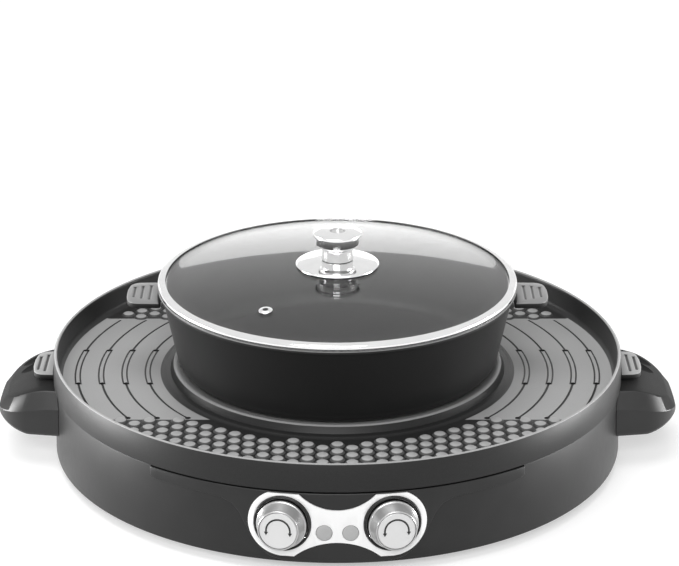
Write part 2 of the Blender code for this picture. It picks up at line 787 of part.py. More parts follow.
def handle(side, sign):
    """Wing-shaped handle: its top falls towards the tip and it is hollow for the fingers below."""
    bottom = RIM_Z - HANDLE_ROOT_HEIGHT
    tip = HOUSING_RADIUS + HANDLE_REACH
    name = "handle_" + side
    outline = [(sign * x, y) for x, y in handle_outline()]
    grip = slab(name, outline, bottom, RIM_Z, GLOSSY_BLACK)
    bend = HOUSING_RADIUS + HANDLE_REACH * HANDLE_BEND_SHARE
    side_view = [(0, bottom - OVERRUN), (0, RIM_Z + OVERRUN), (HOUSING_RADIUS - OVERRUN, RIM_Z + OVERRUN),
                 (HOUSING_RADIUS - OVERRUN, RIM_Z), (HOUSING_RADIUS + HANDLE_ROOT_FLAT, RIM_Z),
                 (bend, RIM_Z - HANDLE_TIP_DROP * HANDLE_BEND_DROP_SHARE),
                 (tip - HANDLE_EDGE, RIM_Z - HANDLE_TIP_DROP),
                 (tip + FUSE_DEPTH, RIM_Z - HANDLE_TIP_DROP - HANDLE_EDGE),
                 (tip + FUSE_DEPTH, bottom + HANDLE_TIP_LIFT),
                 (HOUSING_RADIUS + HANDLE_REACH * HANDLE_LIFT_START_SHARE, bottom + GAP),
                 (HOUSING_RADIUS - OVERRUN, bottom + GAP), (HOUSING_RADIUS - OVERRUN, bottom - OVERRUN)]
    profile = [(sign * x, z) for x, z in side_view]
    keep_inside(grip, slab(name + " side view", profile, -HOUSING_RADIUS, HOUSING_RADIUS, frame=STANDING))
    width = HANDLE_HALF_WIDTH + FUSE_DEPTH
    shoulder = arc((width - HANDLE_BEVEL, RIM_Z + GAP - HANDLE_BEVEL), HANDLE_BEVEL, 0, math.pi / 2, 3)
    end_view = [(-width, bottom - OVERRUN), (width, bottom - OVERRUN)] + shoulder
    end_view += [(-y, z) for y, z in reversed(shoulder)]
    keep_inside(grip, slab(name + " end view", end_view, -2 * HOUSING_RADIUS, 2 * HOUSING_RADIUS,
                           frame=SIDEWAYS))
    cut(grip, cylinder(name + " wall seat", wall_outer(0) + GAP, 0, RIM_Z + OVERRUN,
                       segments=BODY_SEGMENTS, top_radius=wall_outer(RIM_Z + OVERRUN) + GAP))
    hollow = [(sign * x, y) for x, y in inset_outline(handle_outline(), HANDLE_WALL)]
    inner_wall = HOUSING_RADIUS + HANDLE_WALL
    pocket = slab(name + " finger hollow", hollow, bottom - OVERRUN,
                  RIM_Z - HANDLE_TIP_DROP - HANDLE_TOP_WALL)
    keep_inside(pocket, box(name + " hollow limit", (min(sign * inner_wall, sign * tip), -HOUSING_RADIUS, 0),
                            (max(sign * inner_wall, sign * tip), HOUSING_RADIUS, RIM_Z)))
    cut(grip, pocket)
    cut(grip, *handle_scoops(name, sign))
    for number, (y, low, high) in enumerate(handle_screw_places(sign)):
        frame = along_x(sign, y, HANDLE_SCREW_Z) @ Matrix.Translation((0, 0, low))
        fuse(grip, screw("%s screw %d" % (name, number), frame, high - low))
    return grip


def handle_scoops(name, sign):
    """Two long scoops side by side along the slope of a handle's top, with a ridge between them."""
    run = HANDLE_REACH * HANDLE_BEND_SHARE - HANDLE_ROOT_FLAT
    slope = math.atan2(HANDLE_TIP_DROP * HANDLE_BEND_DROP_SHARE, run)
    height = RIM_Z - (HANDLE_SCOOP_STEP - HANDLE_ROOT_FLAT) * math.tan(slope)
    across = sign * (HOUSING_RADIUS + HANDLE_SCOOP_STEP)
    tools = []
    for part, way in (("rear", 1), ("front", -1)):
        place = (across, HANDLE_SCOOP_Y + way * HANDLE_SCOOP_WIDTH, height)
        frame = Matrix.Translation(place) @ Matrix.Rotation(sign * slope, 4, "Y")
        radii = (HANDLE_SCOOP_LENGTH, HANDLE_SCOOP_WIDTH - HANDLE_SCOOP_RIDGE / 2, HANDLE_SCOOP_DEPTH)
        tools.append(ball("%s scoop %s" % (name, part), radii, frame))
    return tools


def screw(name, frame, length, material=None):
    """A screw along its frame's Z, its head first."""
    item = turned(name, ((0, length), (SCREW_RADIUS, length), (SCREW_RADIUS, SCREW_HEAD_HEIGHT),
                         (SCREW_HEAD_RADIUS, SCREW_HEAD_HEIGHT), (SCREW_HEAD_RADIUS, 0), (0, 0)), material,
                  segments=TINY_SEGMENTS, closed=False)
    item.matrix_world = frame
    return item


def bottom_cover():
    """Flat cover with vent slots, holes for feet and screws, and posts under the tray's bosses."""
    radius = wall_inner(COVER_TOP_Z) - COVER_SIDE_GAP
    cover = cylinder("bottom_cover", radius, COVER_HEIGHT, COVER_TOP_Z, material=SATIN_BLACK,
                     segments=BODY_SEGMENTS)
    low = COVER_HEIGHT - OVERRUN
    high = COVER_TOP_Z + OVERRUN
    slot = rounded_rectangle(VENT_RING_RADIUS - VENT_LENGTH / 2, -VENT_WIDTH / 2,
                             VENT_RING_RADIUS + VENT_LENGTH / 2, VENT_WIDTH / 2, VENT_WIDTH / 2 - GAP, 1)
    for number in range(VENT_COUNT):
        turn = Matrix.Rotation(math.tau * (number + 0.5) / VENT_COUNT, 4, "Z")
        cut(cover, slab("vent %d" % number, slot, low, high, frame=turn))
    for number, angle in enumerate(QUARTERS):
        cut(cover, cylinder("foot hole %d" % number, FOOT_STEM_RADIUS + GAP, low, high,
                            on_circle(FOOT_RING_RADIUS, angle)))
        frame = Matrix.Translation((*on_circle(PILLAR_RING_RADIUS, angle), COVER_HEIGHT + FUSE_DEPTH
                                    - SCREW_HEAD_HEIGHT))
        fuse(cover, screw("cover screw %d" % number, frame, SCREW_HEAD_HEIGHT + SCREW_LENGTH))
    post_top = TRAY_FLOOR_Z - TRAY_SHEET - GAP
    for number, angle in enumerate(BOSS_ANGLES):
        place = on_circle(BOSS_RING_RADIUS, angle)
        fuse(cover, cylinder("post %d" % number, POST_RADIUS, COVER_TOP_Z - FUSE_DEPTH, post_top, place))
        cut(cover, cylinder("post hole %d" % number, SCREW_RADIUS + GAP, COVER_TOP_Z + GAP,
                            post_top + OVERRUN, place, segments=TINY_SEGMENTS))
    return cover


def foot(number, angle):
    """Rubber foot whose stem snaps through the cover."""
    snap = COVER_TOP_Z + GAP
    item = turned("foot_%d" % (number + 1), (
        (0, snap + COVER_THICKNESS), (FOOT_STEM_RADIUS, snap + COVER_THICKNESS), (FOOT_KNOB_RADIUS, snap),
        (FOOT_STEM_RADIUS, snap), (FOOT_STEM_RADIUS, COVER_HEIGHT - GAP), (FOOT_RADIUS, COVER_HEIGHT - GAP),
        (FOOT_SOLE_RADIUS, 0), (0, 0)), RUBBER, segments=KNOB_SEGMENTS, closed=False)
    item.location = (*on_circle(FOOT_RING_RADIUS, angle), 0)
    return item


def tray_screw(number, angle):
    """Screw in one of the tray's bosses, down into the cover's post."""
    place = (*on_circle(BOSS_RING_RADIUS, angle), TRAY_FLOOR_Z + GAP + SCREW_HEAD_HEIGHT)
    frame = Matrix.Translation(place) @ Matrix.Rotation(math.pi, 4, "X")
    length = SCREW_HEAD_HEIGHT + SCREW_LENGTH - TRAY_SCREW_SHORTFALL
    return screw("tray_screw_%d" % (number + 1), frame, length, STEEL)


CENTRE_FRAME = Matrix.Translation((CENTRE_BLOCK_X, CENTRE_BLOCK_FRONT_Y, 0))
RIGHT_FRAME = (Matrix.Rotation(RIGHT_BLOCK_ANGLE, 4, "Z")
               @ Matrix.Translation((RIGHT_BLOCK_X, RIGHT_BLOCK_FRONT_Y, 0)))
SENSOR_MIDDLE = SENSOR_START + SENSOR_WIDTH / 2
SENSOR_CENTRE = SENSOR_FRONT + SENSOR_DEPTH / 2
SENSOR_TOP_Z = BLOCK_Z + SENSOR_PROUD
SENSOR_FOOT_Z = SENSOR_TOP_Z - SENSOR_HEAD_HEIGHT
CENTRE_PLINTH = (CENTRE_PLINTH_LEFT_X - CENTRE_BLOCK_X, CENTRE_PLINTH_FRONT_Y - CENTRE_BLOCK_FRONT_Y,
                 CENTRE_PLINTH_RIGHT_X - CENTRE_BLOCK_X, CENTRE_PLINTH_BACK_Y - CENTRE_BLOCK_FRONT_Y)
RIGHT_PLINTH = (-RIGHT_PLINTH_MARGIN, -RIGHT_PLINTH_FRONT_MARGIN,
                BLOCK_LENGTH + RIGHT_PLINTH_MARGIN / 2,
                SENSOR_FRONT + SENSOR_DEPTH + CUT_CLEARANCE + GUIDE_WALL + RIGHT_PLINTH_FRONT_MARGIN)
PLINTH_CORNER = PLINTH_WALL * 2


def tray_rib(name, angle, inner, outer, width):
    turn = Matrix.Rotation(angle, 4, "Z")
    low = (inner, -width / 2, TRAY_FLOOR_Z - FUSE_DEPTH)
    high = (outer, width / 2, TRAY_FLOOR_Z + RIB_HEIGHT)
    return box(name, low, high, frame=turn)


def inner_tray():
    """Pressed tray on the housing's ledge, with its ribs, bosses and the notch for the right block."""
    lip_inner = TRAY_LIP_INNER_RADIUS
    line_z = TRAY_LIP_Z - TRAY_UPPER_WALL_DROP
    line_outer = lip_inner - TRAY_UPPER_WALL_RUN
    line_inner = line_outer - TRAY_LINE_WIDTH
    cove_outer = line_inner - TRAY_LOWER_WALL_RUN
    cove_z = TRAY_FLOOR_Z + TRAY_COVE_HEIGHT
    cove_inner = cove_outer - TRAY_COVE_WIDTH
    tray = turned("inner_tray", (
        (0, TRAY_FLOOR_Z), (cove_inner, TRAY_FLOOR_Z), (cove_outer, cove_z),
        (line_inner, line_z), (line_outer, line_z + GAP), (lip_inner, TRAY_LIP_Z),
        (TRAY_OUTER_RADIUS, TRAY_LIP_Z), (TRAY_OUTER_RADIUS, LEDGE_Z + GAP),
        (TRAY_OUTER_RADIUS - TRAY_SHEET, LEDGE_Z + GAP),
        (TRAY_OUTER_RADIUS - TRAY_SHEET, TRAY_LIP_Z - TRAY_SHEET),
        (lip_inner + TRAY_SHEET, TRAY_LIP_Z - TRAY_SHEET),
        (line_outer + TRAY_SHEET, line_z - TRAY_SHEET), (line_inner + TRAY_SHEET, line_z - TRAY_SHEET),
        (cove_outer + TRAY_SHEET, cove_z - TRAY_SHEET), (cove_inner, TRAY_FLOOR_Z - TRAY_SHEET),
        (0, TRAY_FLOOR_Z - TRAY_SHEET)), TRAY_GREY, closed=False)
    for number, degrees in enumerate(RIB_ANGLES):
        fuse(tray, tray_rib("rib %d" % number, math.radians(degrees), RIB_INNER_RADIUS, RIB_OUTER_RADIUS,
                            RIB_WIDTH))
    fuse(tray, tray_rib("wide rib", math.radians(WIDE_RIB_ANGLE), WIDE_RIB_INNER_RADIUS,
                        WIDE_RIB_OUTER_RADIUS, WIDE_RIB_WIDTH))
    for number, angle in enumerate(BOSS_ANGLES):
        place = on_circle(BOSS_RING_RADIUS, angle)
        fuse(tray, cylinder("boss %d" % number, BOSS_RADIUS, TRAY_FLOOR_Z - FUSE_DEPTH,
                            TRAY_FLOOR_Z + BOSS_HEIGHT, place))
        cut(tray, cylinder("boss bore %d" % number, BOSS_BORE, TRAY_FLOOR_Z, TRAY_FLOOR_Z + OVERRUN,
                           place))
        cut(tray, cylinder("boss hole %d" % number, SCREW_RADIUS + GAP, TRAY_FLOOR_Z - OVERRUN,
                           TRAY_FLOOR_Z + OVERRUN, place, segments=TINY_SEGMENTS))
    left, front, right, back = RIGHT_PLINTH
    notch = rounded_rectangle(left - CUT_CLEARANCE, front - CUT_CLEARANCE, right + CUT_CLEARANCE,
                              back + CUT_CLEARANCE, PLINTH_CORNER)
    cut(tray, slab("plinth notch", notch, TRAY_FLOOR_Z, PLINTH_Z + CUT_CLEARANCE, frame=RIGHT_FRAME))
    cut(tray, box("block notch", (-CUT_CLEARANCE, -CUT_CLEARANCE, PLINTH_Z),
                  (BLOCK_LENGTH + CUT_CLEARANCE, BLOCK_DEPTH + CUT_CLEARANCE,
                   BLOCK_Z - BLOCK_STEP + CUT_CLEARANCE), frame=RIGHT_FRAME))
    for side, frame in (("centre", CENTRE_FRAME), ("right", RIGHT_FRAME)):
        for number, across in enumerate((FIRST_CONTACT, SECOND_CONTACT)):
            cut(tray, cylinder("wire hole %s %d" % (side, number), WIRE_HOLE_RADIUS, TRAY_FLOOR_Z - OVERRUN,
                               TRAY_FLOOR_Z + OVERRUN, (across, CONTACT_PLACE), frame=frame,
                               segments=TINY_SEGMENTS))
    return tray


def plinth(name, bounds, frame):
    """Hollow plinth of a connector block, with the guide of its sprung sensor."""
    left, front, right, back = bounds
    item = slab(name, rounded_rectangle(left, front, right, back, PLINTH_CORNER), TRAY_FLOOR_Z + GAP,
                PLINTH_Z, SATIN_BLACK, frame)
    hollow = rounded_rectangle(left + PLINTH_WALL, front + PLINTH_WALL, right - PLINTH_WALL,
                               back - PLINTH_WALL, PLINTH_WALL)
    cut(item, slab(name + " hollow", hollow, TRAY_FLOOR_Z - OVERRUN, PLINTH_Z - PLINTH_WALL, frame=frame))
    inner = (SENSOR_START - CUT_CLEARANCE, SENSOR_FRONT - CUT_CLEARANCE,
             SENSOR_START + SENSOR_WIDTH + CUT_CLEARANCE, SENSOR_FRONT + SENSOR_DEPTH + CUT_CLEARANCE)
    fuse(item, box(name + " guide", (inner[0] - GUIDE_WALL, inner[1] - GUIDE_WALL, PLINTH_Z - FUSE_DEPTH),
                   (inner[2] + GUIDE_WALL, inner[3] + GUIDE_WALL, PLINTH_Z + GUIDE_HEIGHT), frame=frame))
    cut(item, box(name + " guide hollow", (inner[0], inner[1], PLINTH_Z),
                  (inner[2], inner[3], PLINTH_Z + GUIDE_HEIGHT + OVERRUN), frame=frame))
    cut(item, cylinder(name + " sensor hole", SENSOR_STEM_RADIUS + GAP, TRAY_FLOOR_Z, BLOCK_Z,
                       (SENSOR_MIDDLE, SENSOR_CENTRE), frame=frame, segments=TINY_SEGMENTS))
    for number, across in enumerate((FIRST_CONTACT, EARTH_CONTACT, SECOND_CONTACT)):
        cut(item, cylinder("%s contact hole %d" % (name, number), WIRE_HOLE_RADIUS, TRAY_FLOOR_Z, BLOCK_Z,
                           (across, CONTACT_PLACE), frame=frame, segments=TINY_SEGMENTS))
    return item


def sleeve_radius():
    return TERMINAL_RADIUS + CUT_CLEARANCE + SLEEVE_WALL


def block_slot(name, start, width, outline, frame):
    """A slot of the block: a side view extruded along the block's length."""
    return slab(name, outline, start, start + width, frame=frame @ SIDEWAYS)


def socket_body(name, frame):
    """Connector block: a chamfered body with three slots, a lower end, bores and the sensor's notch."""
    low = PLINTH_Z + GAP
    view = [(0, low), (BLOCK_DEPTH, low), (BLOCK_DEPTH, BLOCK_Z), (BLOCK_CHAMFER_DEPTH, BLOCK_Z),
            (0, BLOCK_Z - BLOCK_CHAMFER_HEIGHT)]
    body = slab(name, view, 0, BLOCK_LENGTH, CERAMIC, frame @ SIDEWAYS)
    above = BLOCK_Z + OVERRUN
    shallow = BLOCK_Z - SLOT_DEPTH
    deep = BLOCK_Z - SLOT_FRONT_DEPTH
    cut(body, block_slot(name + " slot 1", FIRST_SLOT_START, FIRST_SLOT_WIDTH,
                         [(-OVERRUN, deep), (FIRST_SLOT_BACK, deep), (FIRST_SLOT_BACK, above),
                          (-OVERRUN, above)], frame))
    cut(body, block_slot(name + " slot 2", SECOND_SLOT_START, SECOND_SLOT_WIDTH,
                         [(-OVERRUN, deep), (RAMP_FOOT, deep), (RAMP_TOP, shallow),
                          (SECOND_SLOT_BACK, shallow), (SECOND_SLOT_BACK, above), (-OVERRUN, above)], frame))
    cut(body, block_slot(name + " slot 3", THIRD_SLOT_START - GAP,
                         THIRD_SLOT_WIDTH + GAP, [(THIRD_SLOT_FRONT, shallow), (THIRD_SLOT_BACK, shallow),
                          (THIRD_SLOT_BACK, above), (THIRD_SLOT_FRONT, above)], frame))
    step_start = THIRD_SLOT_START + THIRD_SLOT_WIDTH - FUSE_DEPTH
    step_back = THIRD_SLOT_FRONT + FUSE_DEPTH
    step = [(THIRD_SLOT_START, -OVERRUN), (BLOCK_LENGTH + OVERRUN, -OVERRUN),
            (BLOCK_LENGTH + OVERRUN, BLOCK_DEPTH + OVERRUN), (step_start, BLOCK_DEPTH + OVERRUN),
            (step_start, step_back), (THIRD_SLOT_START, step_back)]
    cut(body, slab(name + " step", step, BLOCK_Z - BLOCK_STEP, above, frame=frame))
    clear = CUT_CLEARANCE + GUIDE_WALL + CUT_CLEARANCE
    cut(body, box(name + " sensor notch", (SENSOR_START - clear, SENSOR_FRONT - clear, low - OVERRUN),
                  (SENSOR_START + SENSOR_WIDTH + clear, BLOCK_DEPTH + OVERRUN, above),
                  frame=frame))
    for number, across in enumerate((FIRST_CONTACT, EARTH_CONTACT, SECOND_CONTACT)):
        cut(body, cylinder("%s bore %d" % (name, number), sleeve_radius() + GAP, low - OVERRUN, above,
                           (across, CONTACT_PLACE), frame=frame))
    return body


def contact_sleeve(name, across, frame):
    """Contact sleeve in a bore of the block; it stands on the plinth around its wire hole."""
    bottom = PLINTH_Z + GAP
    top = BLOCK_Z - SLOT_DEPTH - GAP
    outer = sleeve_radius()
    inner = outer - SLEEVE_WALL
    item = turned(name, ((inner, top), (outer, top), (outer, bottom), (WIRE_RADIUS, bottom),
                         (WIRE_RADIUS, bottom + SLEEVE_WALL), (inner, bottom + SLEEVE_WALL)), STEEL,
                  segments=TINY_SEGMENTS)
    item.matrix_world = frame @ Matrix.Translation((across, CONTACT_PLACE, 0))
    return item


def sensor_tab(name, frame):
    """Sprung temperature sensor: a flat-topped head on a stem with a collar below the plinth's top."""
    seat = frame @ Matrix.Translation((SENSOR_MIDDLE, SENSOR_CENTRE, 0))
    head = box(name, (-SENSOR_WIDTH / 2, -SENSOR_DEPTH / 2, SENSOR_FOOT_Z),
               (SENSOR_WIDTH / 2, SENSOR_DEPTH / 2, SENSOR_TOP_Z), STEEL, seat)
    collar_top = PLINTH_Z - PLINTH_WALL - GAP
    stem_foot = collar_top - SENSOR_COLLAR_HEIGHT
    fuse(head, cylinder(name + " stem", SENSOR_STEM_RADIUS, stem_foot, SENSOR_FOOT_Z + FUSE_DEPTH,
                        frame=seat, segments=TINY_SEGMENTS))
    fuse(head, cylinder(name + " collar", SENSOR_COLLAR_RADIUS, stem_foot, collar_top, frame=seat,
                        segments=TINY_SEGMENTS))
    return head


def sensor_spring(name, frame):
    """Coil spring between the plinth and the sensor's head."""
    low = PLINTH_Z + SPRING_WIRE_RADIUS + GAP
    high = SENSOR_FOOT_Z - SPRING_WIRE_RADIUS - GAP
    route = []
    count = SPRING_TURNS * SPRING_POINTS_PER_TURN
    for number in range(count + 1):
        angle = math.tau * number / SPRING_POINTS_PER_TURN
        route.append((*on_circle(SPRING_RADIUS, angle), low + (high - low) * number / count))
    item = tube(name, route, SPRING_WIRE_RADIUS, STEEL, 0)
    item.matrix_world = frame @ Matrix.Translation((SENSOR_MIDDLE, SENSOR_CENTRE, 0))
    return item


def control_box():
    """Box beside the centre block, with a raised front panel and a half-moon pocket in its top."""
    low = PLINTH_Z + GAP
    item = box("control_box", (CONTROL_BOX_LEFT_X, CONTROL_BOX_FRONT_Y, low),
               (CONTROL_BOX_RIGHT_X, CONTROL_BOX_BACK_Y, BLOCK_Z), SATIN_BLACK)
    bevel(item, CONTROL_PANEL_PROUD)
    fuse(item, box("control panel", (CONTROL_PANEL_LEFT_X, CONTROL_BOX_FRONT_Y - CONTROL_PANEL_PROUD, low),
                   (CONTROL_PANEL_RIGHT_X, CONTROL_BOX_FRONT_Y + OVERRUN, BLOCK_Z - CONTROL_PANEL_PROUD)))
    centre = ((CONTROL_PANEL_LEFT_X + CONTROL_PANEL_RIGHT_X) / 2, CONTROL_POCKET_Y)
    half_moon = arc(centre, CONTROL_POCKET_RADIUS, math.pi, math.tau, 8)
    half_moon += [(centre[0] + CONTROL_POCKET_RADIUS, CONTROL_POCKET_Y + CONTROL_POCKET_RADIUS / 2),
                  (centre[0] - CONTROL_POCKET_RADIUS, CONTROL_POCKET_Y + CONTROL_POCKET_RADIUS / 2)]
    cut(item, slab("control pocket", half_moon, BLOCK_Z - CONTROL_POCKET_DEPTH, BLOCK_Z + OVERRUN))
    return item


def plate_outline():
    """Two discs joined by a waist whose hollow arcs touch both discs."""
    across = KNOB_SIDE_OFFSET
    disc = PLATE_ROUND_RADIUS
    outline = []
    waists = []
    for reach in (PLATE_WAIST_ABOVE, PLATE_WAIST_BELOW):
        radius = (across ** 2 + reach ** 2 - disc ** 2) / (2 * (disc - reach))
        waists.append((radius, reach + radius))
    above, below = waists
    touch_above = math.atan2(above[1], across)
    touch_below = math.atan2(below[1], across)
    left_centre = (-across, KNOB_HEIGHT)
    right_centre = (across, KNOB_HEIGHT)
    outline += arc(left_centre, disc, touch_above, math.tau - touch_below, 12)
    outline += arc((0, KNOB_HEIGHT - below[1]), below[0], math.pi - touch_below, touch_below, 6)[1:-1]
    outline += arc(right_centre, disc, touch_below - math.pi, math.pi - touch_above, 12)
    outline += arc((0, KNOB_HEIGHT + above[1]), above[0], -touch_above, touch_above - math.pi, 6)[1:-1]
    return outline


def front_plate():
    """Thin curved plate on the panel with a round hole for each bezel and each lens."""
    low = KNOB_HEIGHT - PLATE_ROUND_RADIUS - OVERRUN
    high = KNOB_HEIGHT + PLATE_ROUND_RADIUS + OVERRUN
    plate = cone_ring("front_plate", GAP, GAP + PLATE_THICKNESS, low, high, SILVER_PLASTIC)
    keep_inside(plate, slab("front plate outline", plate_outline(), 0, 2 * HOUSING_RADIUS, frame=STANDING))
    for side, _ in SIDES:
        cut(plate, cylinder("bezel hole " + side, BEZEL_RADIUS + GAP, -OVERRUN, OVERRUN,
                            frame=KNOB_FRAMES[side], segments=KNOB_SEGMENTS))
        cut(plate, cylinder("lens opening " + side, LENS_RADIUS + GAP, -OVERRUN, OVERRUN,
                            frame=LAMP_FRAMES[side]))
    return plate


def panel_core(name):
    """What lies behind the panel's surface, grown by the usual gap, to shape the backs of round trims."""
    low = TABLE_CLEARANCE
    return cylinder(name, panel_radius(low) + GAP, low, RIM_Z, segments=BODY_SEGMENTS,
                    top_radius=panel_radius(RIM_Z) + GAP)


def knob_bezel(side):
    """Round dish around a knob, its back shaped to the panel."""
    item = turned("knob_bezel_" + side, (
        (THERMOSTAT_NECK_RADIUS + GAP, BEZEL_FLOOR_HEIGHT), (BEZEL_RADIUS - BEZEL_RIM, BEZEL_FLOOR_HEIGHT),
        (BEZEL_RADIUS - BEZEL_RIM, BEZEL_RIM_HEIGHT), (BEZEL_RADIUS, BEZEL_RIM_HEIGHT),
        (BEZEL_RADIUS, -OVERRUN / 2), (THERMOSTAT_NECK_RADIUS + GAP, -OVERRUN / 2)), SATIN_BLACK,
        segments=KNOB_SEGMENTS)
    item.matrix_world = KNOB_FRAMES[side]
    return cut(item, panel_core("panel behind bezel " + side))


KNOB_BACK = BEZEL_FLOOR_HEIGHT + KNOB_STANDOFF + 2 * GAP
KNOB_FRONT = KNOB_BACK + KNOB_LENGTH
SHAFT_FRONT = KNOB_BACK + SHAFT_REACH


def knob(side):
    """Knob with a skirt, a pointer mark, a recess for its face disc and a bore for the shaft."""
    item = turned("knob_" + side, (
        (0, KNOB_FRONT - KNOB_FACE_DEPTH), (KNOB_FACE_RADIUS - KNOB_FACE_INSET, KNOB_FRONT - KNOB_FACE_DEPTH),
        (KNOB_FACE_RADIUS - KNOB_FACE_INSET, KNOB_FRONT), (KNOB_FACE_RADIUS, KNOB_FRONT),
        (KNOB_BODY_RADIUS, KNOB_BACK + KNOB_SKIRT_HEIGHT), (KNOB_SKIRT_RADIUS, KNOB_BACK + KNOB_SKIRT_HEIGHT),
        (KNOB_SKIRT_RADIUS, KNOB_BACK), (0, KNOB_BACK)), SILVER_PLASTIC, segments=KNOB_SEGMENTS,
        closed=False)
    item.matrix_world = KNOB_FRAMES[side]
    pointer = cylinder("pointer " + side, POINTER_RADIUS, KNOB_BACK + GAP, KNOB_FRONT - KNOB_FACE_DEPTH,
                       (0, KNOB_BODY_RADIUS - POINTER_RADIUS / 2), frame=KNOB_FRAMES[side],
                       segments=TINY_SEGMENTS)
    fuse(item, pointer)
    bore = cylinder("knob bore " + side, SHAFT_RADIUS + GAP, KNOB_BACK - OVERRUN, SHAFT_FRONT + GAP,
                    frame=KNOB_FRAMES[side])
    reach = SHAFT_RADIUS + OVERRUN
    flat = SHAFT_RADIUS - SHAFT_FLAT_DEPTH + GAP
    combine(bore, box("bore flat " + side, (-reach, flat, KNOB_BACK - 2 * OVERRUN),
                      (reach, reach, SHAFT_FRONT + OVERRUN), frame=KNOB_FRAMES[side]), "DIFFERENCE")
    return cut(item, bore)


def knob_face(side):
    """Disc set into the knob's front."""
    low = KNOB_FRONT - KNOB_FACE_DEPTH + GAP
    return cylinder("knob_face_" + side, KNOB_FACE_RADIUS - KNOB_FACE_INSET - GAP, low, KNOB_FRONT,
                    material=SILVER_PLASTIC, frame=KNOB_FRAMES[side], segments=KNOB_SEGMENTS)


def thermostat_back():
    """How far behind the panel's surface the thermostat's body starts, on the knob's axis."""
    wall = panel_radius(KNOB_HEIGHT) - wall_inner(KNOB_HEIGHT) * FACET_SHARE
    lean = THERMOSTAT_RADIUS * math.tan(PANEL_LEAN)
    curve = THERMOSTAT_RADIUS ** 2 / (2 * HOUSING_RADIUS)
    return -(wall + lean + curve + GAP)


def control_shaft(side):
    """D-shaped shaft from the thermostat into the knob."""
    low = thermostat_back() + GAP
    item = cylinder("control_shaft_" + side, SHAFT_RADIUS, low, SHAFT_FRONT, material=STEEL,
                    frame=KNOB_FRAMES[side])
    reach = SHAFT_RADIUS + OVERRUN
    flat = SHAFT_RADIUS - SHAFT_FLAT_DEPTH
    return cut(item, box("shaft flat " + side, (-reach, flat, KNOB_BACK),
                         (reach, reach, SHAFT_FRONT + OVERRUN), frame=KNOB_FRAMES[side]))


def thermostat(side):
    """Round thermostat behind the wall, with a neck through it."""
    face = thermostat_back()
    rear = face - THERMOSTAT_DEPTH
    frame = KNOB_FRAMES[side]
    item = turned("thermostat_" + side, (
        (0, face), (SHAFT_RADIUS + GAP, face), (SHAFT_RADIUS + GAP, BEZEL_FLOOR_HEIGHT),
        (THERMOSTAT_NECK_RADIUS, BEZEL_FLOOR_HEIGHT), (THERMOSTAT_NECK_RADIUS, face),
        (THERMOSTAT_RADIUS, face), (THERMOSTAT_RADIUS, rear), (0, rear)), CERAMIC, closed=False,
        segments=KNOB_SEGMENTS)
    item.matrix_world = frame
    return item


def lens(side):
    """Lamp lens: a flat disc on the panel and a hollow stem through the wall."""
    inner = LAMP_RADIUS + GAP
    top = GAP + PLATE_THICKNESS + LENS_HEIGHT
    item = turned("lamp_lens_" + side, (
        (0, top), (LENS_RADIUS, top), (LENS_RADIUS, GAP), (LENS_STEM_RADIUS, GAP),
        (LENS_STEM_RADIUS, -LENS_STEM_LENGTH), (inner, -LENS_STEM_LENGTH), (inner, 0), (0, 0)), LENS_GREY,
        segments=SMALL_SEGMENTS, closed=False)
    item.matrix_world = LAMP_FRAMES[side]
    return item


def lamp(side):
    """Small glow lamp in the lens's stem."""
    item = turned("lamp_" + side, (
        (0, -GAP), (LAMP_RADIUS / 2, -GAP), (LAMP_RADIUS, -LAMP_RADIUS), (LAMP_RADIUS, -LAMP_LENGTH),
        (0, -LAMP_LENGTH)), GLASS, segments=TINY_SEGMENTS, closed=False)
    item.matrix_world = LAMP_FRAMES[side]
    return item


def knob_front_reach():
    """How far the knobs' front edge reaches from the axis towards the front."""
    frame = KNOB_FRAMES["left"]
    centre = frame @ Vector((0, 0, KNOB_FRONT))
    outwards = frame.col[2].y
    return -centre.y + KNOB_FACE_RADIUS * math.sqrt(1 - outwards ** 2)


def power_inlet():
    """Mains inlet at the back: an open shroud with a flange on the wall."""
    reach = knob_front_reach()
    start = math.sqrt(wall_inner(INLET_Z) ** 2 - INLET_WIDTH ** 2 / 4) - INLET_INSIDE_REACH
    half_width = INLET_WIDTH / 2
    half_height = INLET_HEIGHT / 2

    def frame_outline(margin, corner):
        return rounded_rectangle(-half_width - margin, INLET_Z - half_height - margin, half_width + margin,
                                 INLET_Z + half_height + margin, corner)

    item = slab("power_inlet", frame_outline(0, INLET_ROUND), -reach, -start, SATIN_BLACK, STANDING)
    flange = slab("inlet flange", frame_outline(INLET_FLANGE, INLET_ROUND + INLET_FLANGE),
                  -HOUSING_RADIUS - INLET_FLANGE_THICKNESS, -wall_inner(INLET_Z) + OVERRUN, frame=STANDING)
    cut(flange, cylinder("wall behind flange", wall_outer(0) + GAP, 0, RIM_Z, segments=BODY_SEGMENTS,
                         top_radius=wall_outer(RIM_Z) + GAP))
    fuse(item, flange)
    socket = frame_outline(-INLET_WALL, INLET_ROUND - INLET_WALL / 2)
    cut(item, slab("inlet socket", socket, -reach - OVERRUN, -start - INLET_WALL, frame=STANDING))
    for number in (-1, 0, 1):
        frame = (Matrix.Translation((number * INLET_PIN_SPACING, 0, INLET_Z))
                 @ Matrix.Rotation(-math.pi / 2, 4, "X"))
        fuse(item, cylinder("inlet pin %d" % number, INLET_PIN_RADIUS, start + INLET_WALL - FUSE_DEPTH,
                            reach - INLET_PIN_SHORTFALL, frame=frame, segments=TINY_SEGMENTS))
    return item


def ear(name, sign, reach_from, reach_to, half_width, round_radius, top, thickness):
    """Tongue-shaped ear on one side, from inside the wall to its round end."""
    outline = rounded_rectangle(reach_from - round_radius, -half_width, reach_to, half_width, round_radius)
    outline = [(sign * x, y) for x, y in outline]
    return slab(name, outline, top - thickness, top)


